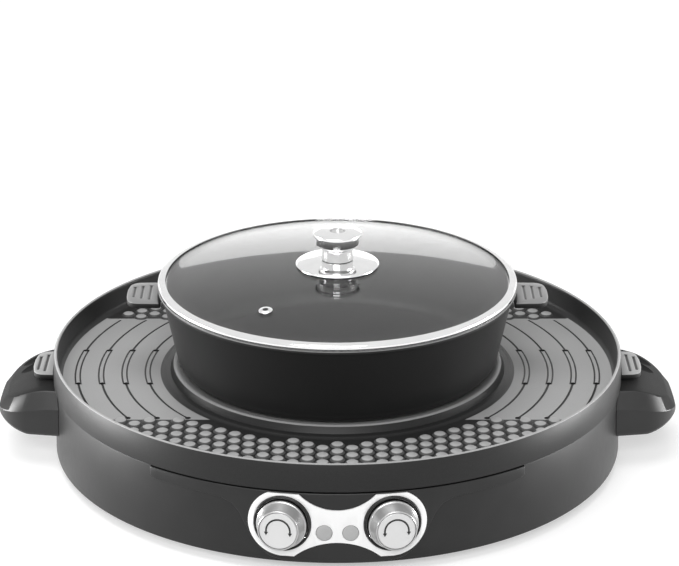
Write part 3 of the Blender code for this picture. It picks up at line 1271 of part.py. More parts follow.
def ear_grooves(name, sign, root, offsets, half_width, top):
    """Thin grooves across an ear, each ending in a dot at the front."""
    tools = []
    half_length = half_width * EAR_GROOVE_LENGTH_SHARE
    for number, offset in enumerate(offsets):
        x = sign * (root + offset)
        tools.append(box("%s groove %d" % (name, number),
                         (x - EAR_GROOVE_WIDTH / 2, -half_length, top - EAR_GROOVE_DEPTH),
                         (x + EAR_GROOVE_WIDTH / 2, half_length, top + OVERRUN)))
        tools.append(cylinder("%s groove end %d" % (name, number), EAR_GROOVE_WIDTH, top - EAR_GROOVE_DEPTH,
                              top + OVERRUN, (x, -half_length), segments=TINY_SEGMENTS))
    return tools


def grill_pan():
    """Round casting: wall, floor, raised seat of the pot, channel grooves, ears and sensor pads."""
    dish_under_radius = PAN_DISH_RADIUS + PAN_DISH_EDGE * 2
    pan = turned("grill_pan", (
        (0, PAN_DISH_Z), (PAN_DISH_RADIUS, PAN_DISH_Z),
        (PAN_LIP_RADIUS - PAN_LIP_WIDTH, PAN_FLOOR_Z + PAN_LIP_HEIGHT - RIM_ROUND),
        (PAN_LIP_RADIUS - PAN_LIP_WIDTH / 2, PAN_FLOOR_Z + PAN_LIP_HEIGHT),
        (PAN_LIP_RADIUS, PAN_FLOOR_Z + PAN_LIP_HEIGHT - RIM_ROUND),
        (PAN_RING_INNER_RADIUS, PAN_FLOOR_Z + PAN_RING_HEIGHT),
        (PAN_RING_OUTER_RADIUS, PAN_FLOOR_Z),
        (PAN_RADIUS - PAN_WALL_TAPER - PAN_WALL - PAN_COVE, PAN_FLOOR_Z),
        (PAN_RADIUS - PAN_WALL_TAPER - PAN_WALL, PAN_FLOOR_Z + PAN_COVE),
        (PAN_RADIUS - PAN_WALL_TAPER - PAN_WALL, PAN_RIM_Z - RIM_ROUND / 2),
        (PAN_RADIUS - PAN_WALL_TAPER - PAN_WALL / 2, PAN_RIM_Z),
        (PAN_RADIUS - PAN_WALL_TAPER, PAN_RIM_Z - RIM_ROUND / 2), (PAN_RADIUS, PAN_FOOT_Z),
        (PAN_SPIGOT_RADIUS, PAN_FOOT_Z), (PAN_SPIGOT_RADIUS, PAN_UNDER_Z),
        (dish_under_radius + PAN_DISH_EDGE, PAN_UNDER_Z), (dish_under_radius, PAN_DISH_UNDER_Z),
        (0, PAN_DISH_UNDER_Z)), CAST_COATING, closed=False)
    reach = PAN_RADIUS + PAN_EAR_REACH
    ear_top = PAN_RIM_Z - PAN_EAR_DROP
    for side, sign in SIDES:
        fuse(pan, ear("pan ear " + side, sign, PAN_RADIUS, reach, PAN_EAR_HALF_WIDTH, PAN_EAR_ROUND,
                      ear_top, PAN_EAR_THICKNESS))
        cut(pan, *ear_grooves("pan ear " + side, sign, PAN_RADIUS, PAN_EAR_GROOVES, PAN_EAR_HALF_WIDTH,
                              ear_top))
    for number in range(ARC_GROOVES):
        radius = PAN_RING_OUTER_RADIUS + ARC_GROOVE_START + number * ARC_GROOVE_PITCH
        ring = turned("channel %d" % number, (
            (radius - ARC_GROOVE_WIDTH / 2, PAN_FLOOR_Z + OVERRUN),
            (radius + ARC_GROOVE_WIDTH / 2, PAN_FLOOR_Z + OVERRUN),
            (radius + ARC_GROOVE_WIDTH / 2, PAN_FLOOR_Z - ARC_GROOVE_DEPTH),
            (radius - ARC_GROOVE_WIDTH / 2, PAN_FLOOR_Z - ARC_GROOVE_DEPTH)))
        keep_inside(ring, box("channel limit %d" % number, (-HOUSING_RADIUS, -ARC_GROOVE_HALF_LENGTH, 0),
                              (HOUSING_RADIUS, ARC_GROOVE_HALF_LENGTH, POT_RIM_Z)))
        cut(pan, ring)
    pads = (("centre", CENTRE_FRAME, PAN_DISH_UNDER_Z), ("right", RIGHT_FRAME, PAN_UNDER_Z))
    for side, frame, under in pads:
        fuse(pan, box("sensor pad " + side, (SENSOR_START, SENSOR_FRONT, SENSOR_TOP_Z + GAP),
                      (SENSOR_START + SENSOR_WIDTH, SENSOR_FRONT + SENSOR_DEPTH, under + FUSE_DEPTH),
                      frame=frame))
    for name in ELEMENTS:
        fuse(pan, *element_clips(name))
    return pan


ELEMENTS = {
    "outer": dict(ring=OUTER_ELEMENT_RING, under=PAN_UNDER_Z, frame=RIGHT_FRAME,
                  middle=RIGHT_BLOCK_ANGLE, opening=ELEMENT_OPEN_ANGLE),
    "inner": dict(ring=INNER_ELEMENT_RING, under=PAN_DISH_UNDER_Z, frame=CENTRE_FRAME, middle=0,
                  opening=INNER_ELEMENT_OPEN_ANGLE),
}


def heating_element(name):
    """Open ring of tubular heating element close below the pan."""
    size = ELEMENTS[name]
    height = size["under"] - GAP - ELEMENT_RADIUS
    start = size["middle"] + size["opening"]
    end = size["middle"] + math.tau - size["opening"]
    route = [(*point, height) for point in arc((0, 0), size["ring"], start, end, BODY_SEGMENTS)]
    item = tube(name + "_element", route, ELEMENT_RADIUS, STEEL, 1)
    return fuse(item, *terminal_rods(name))


def terminal_height(name):
    return ELEMENTS[name]["under"] - GAP - TERMINAL_RADIUS


def ring_end(name, sign):
    """Where a terminal rod starts, just inside the ring's end."""
    size = ELEMENTS[name]
    angle = size["middle"] + sign * (size["opening"] + TERMINAL_RADIUS / size["ring"])
    return Vector((*on_circle(size["ring"], angle), terminal_height(name)))


def terminal_rods(name):
    """Two rods from the ring's ends, bent down over the contact sleeves."""
    frame = ELEMENTS[name]["frame"]
    height = terminal_height(name)
    bottom = BLOCK_Z - SLOT_DEPTH - TERMINAL_DEPTH / 2
    rods = []
    corner = TERMINAL_RADIUS * 2
    ways = {"outer": ((-1, FIRST_CONTACT, ()),
                      (1, SECOND_CONTACT, ((EARTH_CONTACT + corner * 2, CONTACT_PLACE),))),
            "inner": ((-1, FIRST_CONTACT, ()),
                      (1, SECOND_CONTACT, ((BLOCK_LENGTH, CONTACT_PLACE + corner),)))}
    for sign, across, corners in ways[name]:
        route = [ring_end(name, sign)]
        for place in corners:
            point = frame @ Vector((*place, 0))
            route.append(Vector((point.x, point.y, height)))
        pin = frame @ Vector((across, CONTACT_PLACE, 0))
        route.append(Vector((pin.x, pin.y, height)))
        route.append(Vector((pin.x, pin.y, bottom)))
        rods.append(tube("%s rod %d" % (name, sign), route, TERMINAL_RADIUS, sides_level=1))
    return rods


def earth_pin(name):
    """Earth pin with a collar against the pan's underside."""
    size = ELEMENTS[name]
    top = size["under"] - GAP
    bottom = BLOCK_Z - SLOT_DEPTH - TERMINAL_DEPTH / 2
    item = turned(name + "_earth_pin", (
        (0, top), (TERMINAL_COLLAR_RADIUS, top), (TERMINAL_COLLAR_RADIUS, top - TERMINAL_COLLAR_HEIGHT),
        (EARTH_PIN_RADIUS, top - TERMINAL_COLLAR_HEIGHT), (EARTH_PIN_RADIUS, bottom), (0, bottom)),
        STEEL, segments=TINY_SEGMENTS, closed=False)
    item.matrix_world = size["frame"] @ Matrix.Translation((EARTH_CONTACT, CONTACT_PLACE, 0))
    return item


def element_clips(name):
    """U-shaped clips of the pan that hold a ring up against it."""
    size = ELEMENTS[name]
    top = size["under"] + FUSE_DEPTH
    inner = ELEMENT_RADIUS + LOOSE_CLEARANCE
    outer = inner + ELEMENT_CLIP_WALL
    low = size["under"] - GAP - 2 * ELEMENT_RADIUS - GAP
    outline = [(-outer, low - ELEMENT_CLIP_WALL), (outer, low - ELEMENT_CLIP_WALL), (outer, top),
               (inner, top), (inner, low), (-inner, low), (-inner, top), (-outer, top)]
    clips = []
    for number in range(ELEMENT_CLIPS):
        angle = size["middle"] + math.tau * (number + 0.5) / ELEMENT_CLIPS
        frame = Matrix.Rotation(angle, 4, "Z") @ Matrix.Translation((size["ring"], 0, 0)) @ STANDING
        clips.append(slab("%s clip %d" % (name, number), outline, -ELEMENT_CLIP_WIDTH / 2,
                          ELEMENT_CLIP_WIDTH / 2, frame=frame))
    return clips


def pot_inner_radius():
    return POT_RIM_RADIUS - POT_WALL


def pot():
    """Deep drawn pot with a rounded foot, a rim and two grooved ears."""
    under_rim = POT_RIM_Z - POT_RIM_HEIGHT
    foot_centre = (POT_LOWER_RADIUS - POT_ROUND, POT_FOOT_Z + POT_ROUND)
    outer_foot = arc(foot_centre, POT_ROUND, 0, -math.pi / 2, POT_ROUND_STEPS)
    inner_foot = arc(foot_centre, POT_ROUND - POT_WALL, -math.pi / 2, 0, POT_ROUND_STEPS)
    floor = POT_FOOT_Z + POT_WALL
    body = turned("pot", [(0, floor)] + inner_foot + [
        (POT_UPPER_RADIUS - POT_WALL, under_rim), (pot_inner_radius(), POT_RIM_Z),
        (POT_RIM_RADIUS, POT_RIM_Z), (POT_RIM_RADIUS, under_rim), (POT_UPPER_RADIUS, under_rim)]
        + outer_foot + [(0, POT_FOOT_Z)], CAST_COATING, segments=POT_SEGMENTS, closed=False)
    reach = POT_RIM_RADIUS + POT_EAR_REACH
    ear_top = POT_RIM_Z - POT_EAR_DROP
    for side, sign in SIDES:
        tongue = ear("pot ear " + side, sign, POT_UPPER_RADIUS, reach, POT_EAR_HALF_WIDTH, POT_EAR_ROUND,
                     ear_top, POT_EAR_THICKNESS)
        cut(tongue, cylinder("pot wall behind ear " + side, POT_UPPER_RADIUS - POT_WALL / 2, POT_FOOT_Z,
                             POT_RIM_Z, segments=POT_SEGMENTS))
        fuse(body, tongue)
        cut(body, *ear_grooves("pot ear " + side, sign, POT_RIM_RADIUS, POT_EAR_GROOVES,
                               POT_EAR_HALF_WIDTH, ear_top))
    return body


LID_LAP_RADIUS = LID_BAND_RADIUS - LID_BAND_LAP
GLASS_EDGE_RADIUS = LID_BAND_RADIUS - LID_BAND_WALL - GAP
GLASS_BOTTOM_Z = LID_SEAT_Z + LID_BAND_WALL + GAP
GLASS_TOP_Z = LID_SEAT_Z + LID_BAND_HEIGHT - LID_BAND_WALL - GAP
GLASS_THICKNESS = GLASS_TOP_Z - GLASS_BOTTOM_Z
DOME_RADIUS = LID_LAP_RADIUS - LID_BAND_WALL
DOME_SPHERE = (DOME_RADIUS ** 2 + GLASS_RISE ** 2) / (2 * GLASS_RISE)


def dome(radius):
    """Height of the glass's top surface at a distance from the axis."""
    if radius >= DOME_RADIUS:
        return GLASS_TOP_Z
    return GLASS_TOP_Z + GLASS_RISE - DOME_SPHERE + math.sqrt(DOME_SPHERE ** 2 - radius ** 2)


def lid_glass():
    """Domed glass with a flat edge, and holes for the vent eyelet and the knob's screw."""
    top = [(DOME_RADIUS * step / GLASS_STEPS, dome(DOME_RADIUS * step / GLASS_STEPS))
           for step in range(GLASS_STEPS + 1)]
    top.append((GLASS_EDGE_RADIUS, GLASS_TOP_Z))
    under = [(radius, height - GLASS_THICKNESS) for radius, height in reversed(top)]
    item = turned("lid_glass", top + under, GLASS, segments=POT_SEGMENTS, closed=False)
    cut(item, cylinder("vent hole", EYELET_SHANK + GAP, GLASS_BOTTOM_Z - OVERRUN,
                       GLASS_TOP_Z + GLASS_RISE + OVERRUN, (VENT_X, VENT_Y)))
    return cut(item, cylinder("knob screw hole", LID_SCREW_RADIUS + GAP, GLASS_BOTTOM_Z,
                              GLASS_TOP_Z + GLASS_RISE + OVERRUN, segments=TINY_SEGMENTS))


def lid_band():
    """Steel band folded round the glass's edge, with a skirt that centres the lid in the pot."""
    bottom = LID_SEAT_Z
    top = bottom + LID_BAND_HEIGHT
    wall = LID_BAND_WALL
    skirt = pot_inner_radius() - POT_WALL - SKIRT_INSIDE_CLEARANCE
    return turned("lid_band", (
        (LID_LAP_RADIUS, top), (LID_BAND_RADIUS - wall, top), (LID_BAND_RADIUS, top - wall),
        (LID_BAND_RADIUS, bottom), (skirt, bottom), (skirt, bottom - SKIRT_DEPTH),
        (skirt - wall, bottom - SKIRT_DEPTH), (skirt - wall, bottom + wall),
        (LID_BAND_RADIUS - wall, bottom + wall), (LID_BAND_RADIUS - wall, top - wall),
        (LID_LAP_RADIUS, top - wall)), STEEL, segments=POT_SEGMENTS)


def vent_eyelet():
    """Steam eyelet pressed into the glass, square to its slope."""
    distance = math.hypot(VENT_X, VENT_Y)
    top = dome(distance)
    slope = math.asin(distance / DOME_SPHERE)
    item = turned("vent_eyelet", (
        (EYELET_BORE, GAP + EYELET_HEIGHT), (EYELET_SHANK, GAP + EYELET_HEIGHT), (EYELET_RADIUS, GAP + GAP),
        (EYELET_RADIUS, GAP), (EYELET_SHANK - GAP, GAP), (EYELET_SHANK - GAP, -GLASS_THICKNESS - GAP),
        (EYELET_BORE, -GLASS_THICKNESS - GAP)), STEEL, segments=SMALL_SEGMENTS)
    outwards = math.atan2(VENT_Y, VENT_X)
    item.matrix_world = (Matrix.Translation((VENT_X, VENT_Y, top)) @ Matrix.Rotation(outwards, 4, "Z")
                         @ Matrix.Rotation(slope, 4, "Y"))
    return item


FLANGE_SEAT_Z = dome(0) + GAP
NECK_Z = FLANGE_SEAT_Z + FLANGE_HEIGHT
STEM_Z = NECK_Z + NECK_HEIGHT
CAP_Z = STEM_Z + STEM_HEIGHT


def knob_flange():
    """Steel disc under the lid's knob, hollow to follow the glass."""
    hole = LID_SCREW_RADIUS + GAP
    steps = 2
    seat = [(FLANGE_RADIUS * step / steps, dome(FLANGE_RADIUS * step / steps) + GAP)
            for step in range(steps, 0, -1)]
    edge = seat[0][1]
    return turned("knob_flange", [
        (hole, NECK_Z), (FLANGE_CROWN_RADIUS, NECK_Z - FLANGE_EDGE / 2),
        (FLANGE_RADIUS - FLANGE_EDGE, edge + FLANGE_EDGE + FLANGE_EDGE / 2),
        (FLANGE_RADIUS, edge + FLANGE_EDGE / 2)]
        + seat + [(hole, FLANGE_SEAT_Z)], STEEL, segments=POT_SEGMENTS)


def lid_knob():
    """Polished waisted knob with a screw bore."""
    bore = LID_SCREW_RADIUS + GAP
    low = NECK_Z + GAP
    return turned("lid_knob", (
        (0, CAP_Z), (STEM_RADIUS, CAP_Z), (STEM_RADIUS, STEM_Z + STEM_FLARE), (NECK_RADIUS, STEM_Z),
        (NECK_RADIUS, low), (bore, low), (bore, low + LID_SCREW_REACH), (0, low + LID_SCREW_REACH)),
        STEEL, segments=KNOB_SEGMENTS, closed=False)


def lid_knob_cap():
    """Steel cap over the knob."""
    low = CAP_Z + GAP
    top = low + CAP_HEIGHT
    return turned("lid_knob_cap", (
        (0, top), (CAP_RADIUS / 2, top - CAP_HEIGHT / 10),
        (CAP_RADIUS - CAP_HEIGHT / 2, top - CAP_HEIGHT / 3),
        (CAP_RADIUS, low), (CAP_RADIUS, low - CAP_SKIRT), (STEM_RADIUS + GAP, low - CAP_SKIRT),
        (STEM_RADIUS + GAP, low), (0, low)), STEEL, segments=KNOB_SEGMENTS, closed=False)


def lid_washer():
    """Washer between the glass and the screw's head."""
    top = dome(0) - GLASS_THICKNESS - GAP
    hole = LID_SCREW_RADIUS + GAP
    drop = dome(0) - dome(WASHER_RADIUS)
    return turned("lid_washer", ((hole, top - drop), (WASHER_RADIUS, top - drop),
                                 (WASHER_RADIUS, top - drop - WASHER_THICKNESS),
                                 (hole, top - drop - WASHER_THICKNESS)), RUBBER, segments=SMALL_SEGMENTS)


def lid_screw():
    """Screw from below through washer, glass and flange into the knob."""
    drop = dome(0) - dome(WASHER_RADIUS)
    under = dome(0) - GLASS_THICKNESS - GAP - drop - WASHER_THICKNESS - GAP
    tip = NECK_Z + LID_SCREW_REACH - GAP
    return turned("lid_screw", (
        (0, tip), (LID_SCREW_RADIUS, tip), (LID_SCREW_RADIUS, under), (LID_SCREW_HEAD_RADIUS, under),
        (LID_SCREW_HEAD_RADIUS, under - LID_SCREW_HEAD_HEIGHT), (0, under - LID_SCREW_HEAD_HEIGHT)),
        STEEL, segments=TINY_SEGMENTS, closed=False)


def build():
    base_housing()
    for side, sign in SIDES:
        handle(side, sign)
    bottom_cover()
    for number, angle in enumerate(QUARTERS):
        foot(number, angle)
    inner_tray()
    for number, angle in enumerate(BOSS_ANGLES):
        tray_screw(number, angle)
    blocks = (("centre", CENTRE_PLINTH, CENTRE_FRAME), ("right", RIGHT_PLINTH, RIGHT_FRAME))
    for place, bounds, frame in blocks:
        plinth(place + "_plinth", bounds, frame)
        socket_body(place + "_socket_body", frame)
        contacts = (("line", FIRST_CONTACT), ("earth", EARTH_CONTACT), ("neutral", SECOND_CONTACT))
        for use, across in contacts:
            contact_sleeve("%s_%s_sleeve" % (place, use), across, frame)
        sensor_tab(place + "_sensor_tab", frame)
        sensor_spring(place + "_sensor_spring", frame)
    control_box()
    front_plate()
    for side, _ in SIDES:
        knob_bezel(side)
        knob(side)
        knob_face(side)
        control_shaft(side)
        thermostat(side)
        lens(side)
        lamp(side)
    power_inlet()
    grill_pan()
    for name in ELEMENTS:
        heating_element(name)
        earth_pin(name)
    pot()
    lid_glass()
    lid_band()
    vent_eyelet()
    knob_flange()
    lid_knob()
    lid_knob_cap()
    lid_washer()
    lid_screw()


build()
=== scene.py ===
"""Looks of the hot pot grill combo: finishes, smooth casings, food bumps, knob marks, lights and camera."""

import math

import bpy
from mathutils import Matrix, Vector


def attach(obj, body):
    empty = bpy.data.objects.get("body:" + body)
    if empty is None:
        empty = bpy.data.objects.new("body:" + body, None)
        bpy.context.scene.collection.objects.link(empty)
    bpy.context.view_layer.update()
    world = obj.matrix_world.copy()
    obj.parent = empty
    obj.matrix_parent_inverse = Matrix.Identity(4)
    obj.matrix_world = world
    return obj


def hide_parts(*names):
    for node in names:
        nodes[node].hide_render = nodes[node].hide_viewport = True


MM = 0.001
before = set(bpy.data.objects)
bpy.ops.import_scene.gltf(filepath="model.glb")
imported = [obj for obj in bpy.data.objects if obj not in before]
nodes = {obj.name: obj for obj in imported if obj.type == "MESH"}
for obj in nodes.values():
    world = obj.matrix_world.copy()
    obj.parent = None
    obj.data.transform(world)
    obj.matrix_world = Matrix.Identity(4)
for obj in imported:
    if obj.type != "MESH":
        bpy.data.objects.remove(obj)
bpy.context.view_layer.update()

# Camera: the photograph's, fitted to its round rims. Metres, degrees, and millimetres for the sensor
FRAME_WIDTH = 679
FOCAL_PIXELS = 2470
CENTRE_PIXEL = 337.4
CAMERA_PLACE = (0, -1.820, 0.845)
CAMERA_PITCH = 21.22
SENSOR_WIDTH = 36

# Heights and radii in millimetres, as in the part. All sizes are in millimetres, but for the studio's
RIM = 64.4
WALL_TOP = 224.0
WALL_FOOT = 226.0
FOOT_EDGE = 8.0
PANEL_PROUD = 2.5
PANEL_LEAN = math.radians(4)
KNOB_HEIGHT = 40.6
KNOB_SIDE = 39.6
LAMP_HEIGHT = 34.6
LAMP_SIDE = 9.5
PAN_FLOOR = 66.4
PAN_DISH = 70.8
TRAY_FLOOR = 22.3
POT_FOOT = 71.1
POT_RIM = 138.6
GLASS_TOP = 142.6
GLASS_RISE = 12.4
DOME_EDGE = 134.9
DOME_SPHERE = (DOME_EDGE ** 2 + GLASS_RISE ** 2) / (2 * GLASS_RISE)
LID_KNOB_FOOT = 159.0
SIDES = (("left", -1), ("right", 1))

# Facets round a turned piece, by its size
WALL_FACETS = 240
LID_FACETS = 192
LID_KNOB_FACETS = 128
KNOB_FACETS = 96
SMALL_FACETS = 48
CUTTER_FACETS = 192

# Front: radius of the plate's two discs, reach of its waist above and below the middle, holes and knobs
PLATE_ROUND = 25.0
PLATE_WAIST = ((11.2, 1), (13.4, -1))
BEZEL_HOLE = 21.3
LAMP_HOLE = 6.1
KNOB_FOOT = 3.2
KNOB_LENGTH = 13.5

# Handles: root, tip, the finger hollow with its half width and top, and the two thumb scoops
GRIP_ROOT = 200
GRIP_TIP = 269.75
HOLLOW_ROOT = 232
HOLLOW_SIDE = 41.4
HOLLOW_TOP = 42.4
SCOOP_REACH = 243.2
SCOOP_SIDES = (28.4, 13.6)
SCOOP_SIZE = (18.2, 7.3, 3.6)

# Tray: ribs and bosses on its floor, at angles in degrees
TRAY_LIP = 59.4
RIB_FOOT = TRAY_FLOOR - 0.4
RIB_TOP = TRAY_FLOOR + 8.6
RIB_ANGLES = (137.5, 157.5, 177.5, 195.5, 225.0, 245.0, 264.5, 284.5)
WIDE_RIB_ANGLE = 39.0
BOSS_RING = 144
BOSS_ANGLES = (42.5, 137.5, 222.5, 317.5)

# Pan: grooves along circles, single or split in two between distances from the middle, with dots
CHANNEL_RADII = (151.5, 170.0, 188.5, 207.0)
CHANNEL_SINGLE = (32.0, 99.5)
CHANNEL_SPLIT = (0, 35.3)
CHANNEL_GAP = 1.9
CHANNEL_DOTS = (33.7, -33.7, -99.5)
DOT_SHIFT = (0.07, 0.11)  # keeps the dots' edges off the grooves' edges

# Food bumps: size, pitches, how far from the middle line they begin, and the two radii of their field
BUMP_RADIUS = 5.9
BUMP_PITCH_X = 11.0
BUMP_PITCH_Y = 12.4
BUMPS_BEGIN = 103
BUMPS_NEAR = 146
BUMPS_FAR = 213

# Ears: root, reach, half width and top, then each flute's distance, back end and front end
PAN_EAR = (224.0, 242.5, 24.0, 70.0)
PAN_FLUTES = ((232.6, 17, -16.5), (238.2, 13, -13.5))
POT_EAR = (139.0, 166.4, 23.0, 130.1)
POT_FLUTES = ((148.2, 16, -13.5), (154.6, 15, -11.5), (160.8, 13, -8.5))

# Lid
LID_KNOB_BORE = 2.4
GLASS_BORE = 2.6
GLASS_THICK = 2.5
VENT_PLACE = (-54.4, -83.8)
FLANGE_RADIUS = 32.8

# Greys painted on lit flats and edges as painted light, and the colour sockets of a mix node, which share
# their names
PAINTED_LIGHT_GLOSS = 0.3
PAINTED_LIGHT_SATIN = 0.36
MIX_COLOURS = (6, 7)
MIX_RESULT = 2

# Studio: floor, its grey, its glow and from where that rises, and each light's place, aim, size and watts
FLOOR_SIZE = 60
FLOOR_WHITENS = (900, 90000, 1600)  # from and to these distances and softly over the third, in millimetres
FLOOR_GREY = 0.6
FLOOR_GLOW = 0.45
FLOOR_GLOW_RISE = 0.6
WORLD_LIGHT = 0.22
SOFTBOXES = (
    ("overhead softbox", (-0.25, -0.2, 2.0), (0, 0, 0.1), (1.7, 1.5), 28),
    ("back softbox", (0, 2.9, 0.5), (0, 0, 0.1), (4.4, 0.9), 16),
    ("left softbox", (-1.5, 0.1, 0.16), (0, 0, 0.06), (0.7, 0.3), 34),
    ("right softbox", (1.5, 0.1, 0.16), (0, 0, 0.06), (0.7, 0.3), 26),
    ("front softbox", (-0.2, -2.2, 1.55), (0, 0, 0.05), (1.6, 0.7), 36))


def point_camera():
    """See the part as the photograph does."""
    camera = bpy.data.objects.new("Camera", bpy.data.cameras.new("Camera"))
    bpy.context.scene.collection.objects.link(camera)
    camera.location = CAMERA_PLACE
    camera.rotation_euler = (math.radians(90 - CAMERA_PITCH), 0, 0)
    camera.data.sensor_width = SENSOR_WIDTH
    camera.data.lens = SENSOR_WIDTH * FOCAL_PIXELS / FRAME_WIDTH
    camera.data.shift_x = (FRAME_WIDTH / 2 - CENTRE_PIXEL) / FRAME_WIDTH
    camera.data.clip_start = 0.05
    bpy.context.scene.camera = camera


class Value:
    """A shader socket that takes part in sums."""

    def __init__(self, tree, socket):
        self.tree = tree
        self.socket = socket

    def sum(self, operation, *others):
        """One maths node over this value and others, which may be plain numbers."""
        node = self.tree.nodes.new("ShaderNodeMath")
        node.operation = operation
        for place, other in zip(node.inputs, (self, *others)):
            if isinstance(other, Value):
                self.tree.links.new(other.socket, place)
            else:
                place.default_value = other
        return Value(self.tree, node.outputs[0])

    def __add__(self, other):
        return self.sum("ADD", other)

    def __radd__(self, other):
        return self.sum("ADD", other)

    def __sub__(self, other):
        return self.sum("SUBTRACT", other)

    def __rsub__(self, other):
        return (self * -1.0).sum("ADD", other)

    def __mul__(self, other):
        return self.sum("MULTIPLY", other)

    def __rmul__(self, other):
        return self.sum("MULTIPLY", other)

    def clamped(self):
        """The same value, held between 0 and 1."""
        held = self.sum("ADD", 0.0)
        held.socket.node.use_clamp = True
        return held


def between(value, low, high, soft):
    """1 where the value lies between two limits in millimetres, fading over a soft distance."""
    rise = ((value - low * MM) * (1 / (soft * MM))).clamped()
    fall = (high * MM - value) * (1 / (soft * MM))
    return rise * fall.clamped()


class Finish:
    """A Principled material whose patterns read Object coordinates."""

    def __init__(self, name, colour, roughness, **constants):
        self.material = bpy.data.materials.new(name)
        self.material.use_nodes = True
        self.tree = self.material.node_tree
        self.shader = self.tree.nodes["Principled BSDF"]
        self.shader.inputs["Base Color"].default_value = (*colour, 1)
        self.shader.inputs["Roughness"].default_value = roughness
        for socket, value in constants.items():
            self.shader.inputs[socket.replace("_", " ")].default_value = value
        self.place = self.node("ShaderNodeTexCoord").outputs["Object"]

    def node(self, kind, settings=None, **sockets):
        """Any other node, each named input fed from a socket or set to a constant."""
        node = self.tree.nodes.new(kind)
        for name, value in (settings or {}).items():
            setattr(node, name, value)
        for name, value in sockets.items():
            socket = node.inputs[name.replace("_", " ")]
            if isinstance(value, Value):
                value = value.socket
            if isinstance(value, bpy.types.NodeSocket):
                self.tree.links.new(value, socket)
            else:
                socket.default_value = value
        return node

    def value(self, socket):
        return Value(self.tree, socket)

    def axes(self):
        """X, Y and Z in metres."""
        split = self.node("ShaderNodeSeparateXYZ", Vector=self.place)
        return [self.value(socket) for socket in split.outputs]

    def noise(self, scale, detail, stretch=(1, 1, 1), vector=None):
        """A grey cloud pattern from 0 to 1, its grain 1 / scale metres."""
        stretched = self.node("ShaderNodeMapping", Vector=vector or self.place, Scale=stretch)
        grain = self.node("ShaderNodeTexNoise", Vector=stretched.outputs[0], Scale=scale, Detail=detail)
        return self.value(grain.outputs[0])

    def mix(self, factor, first, second):
        """The first colour where the factor is 0, the second where it is 1."""
        node = self.node("ShaderNodeMix", {"data_type": "RGBA"}, Factor=factor)
        for index, colour in zip(MIX_COLOURS, (first, second)):
            if isinstance(colour, bpy.types.NodeSocket):
                self.tree.links.new(colour, node.inputs[index])
            else:
                node.inputs[index].default_value = (*colour, 1)
        return node.outputs[MIX_RESULT]

    def feed(self, socket, value):
        """Link a value or a colour to one of the shader's inputs."""
        value = value.socket if isinstance(value, Value) else value
        self.tree.links.new(value, self.shader.inputs[socket])

    def tint(self, mask, first, second):
        """Let the base colour run from one colour to another along a mask."""
        self.feed("Base Color", self.mix(mask, first, second))

    def zones(self, limits):
        """1 inside any of the zones.

        Each zone is two radii and two heights in millimetres, and perhaps its reach to either side in Y.
        """
        across, along, height = self.axes()
        radius = (across * across + along * along).sum("SQRT")
        inside = radius * 0.0
        for near, far, low, high, *reach in limits:
            zone = between(radius, near, far, 0.6) * between(height, low, high, 0.3)
            if reach:
                zone = zone * between(along.sum("ABSOLUTE"), -1, reach[0], 1.0)
            inside = inside.sum("MAXIMUM", zone)
        return inside

    def bump(self, height, depth):
        """Relief in metres."""
        relief = self.node("ShaderNodeBump", Height=height, Distance=depth, Strength=1.0)
        self.feed("Normal", relief.outputs[0])


def grey(level):
    return (level, level, level)


def cast_coating(name, dark, light, roughness, zones, grain=1400.0):
    """Non-stick coating, dark, with painted light in the zones: up-facing flats painted lighter to stand for
    the light they catch.
    """
    finish = Finish(name, grey(dark), roughness, Specular_IOR_Level=0.21)
    speck = finish.noise(grain, 2.0)
    cloud = finish.noise(18.0, 3.0)
    # Painted light: flats in the zones are painted towards the light grey, broken by speck and cloud; the
    # speck alone tints the rest faintly
    lit_flats_and_speck = finish.zones(zones) * (speck * 0.35 + (cloud * 0.3 + 0.68)) + speck * 0.04
    finish.tint(lit_flats_and_speck.clamped(), grey(dark), grey(light))
    finish.feed("Roughness", (cloud * 0.12 + (roughness - 0.06)).clamped())
    finish.bump(speck, 0.00005)
    return finish.material


def moulded_gloss(name, level, roughness, shine, zones=()):
    """Polished moulded plastic: faint flow marks, fine scuffs in the gloss, and a painted highlight that
    makes lit edges in the zones lighter.
    """
    finish = Finish(name, grey(level), roughness, Specular_IOR_Level=shine)
    flow = finish.noise(45.0, 2.0)
    scuff = finish.noise(320.0, 5.0, (1, 1, 0.35))
    # Painted highlight: the zones are painted towards a light grey, and the flow marks vary the tone a little
    finish.tint((finish.zones(zones) * 0.9 + flow * 0.02).clamped(), grey(level * 0.85),
                grey(PAINTED_LIGHT_GLOSS))
    finish.feed("Roughness", (flow * 0.06 + scuff * 0.08 + (roughness - 0.07)).clamped())
    finish.bump(flow, 0.00004)
    return finish.material


def moulded_satin(name, level, roughness, zones=(), shine=0.4):
    """Matt moulded plastic or ceramic with a fine spark-eroded grain, and painted light that makes its flats
    in the zones lighter.
    """
    finish = Finish(name, grey(level), roughness, Specular_IOR_Level=shine)
    grain = finish.noise(2200.0, 2.0)
    cloud = finish.noise(60.0, 3.0)
    plain = finish.mix((grain * 0.5 + cloud * 0.5).clamped(), grey(level * 0.8), grey(level * 1.2))
    # Painted light: flats in the zones are painted towards a light grey
    finish.feed("Base Color", finish.mix((finish.zones(zones) * 0.9).clamped(), plain, grey(PAINTED_LIGHT_SATIN)))
    finish.feed("Roughness", (cloud * 0.1 + (roughness - 0.05)).clamped())
    finish.bump(grain, 0.00005)
    return finish.material


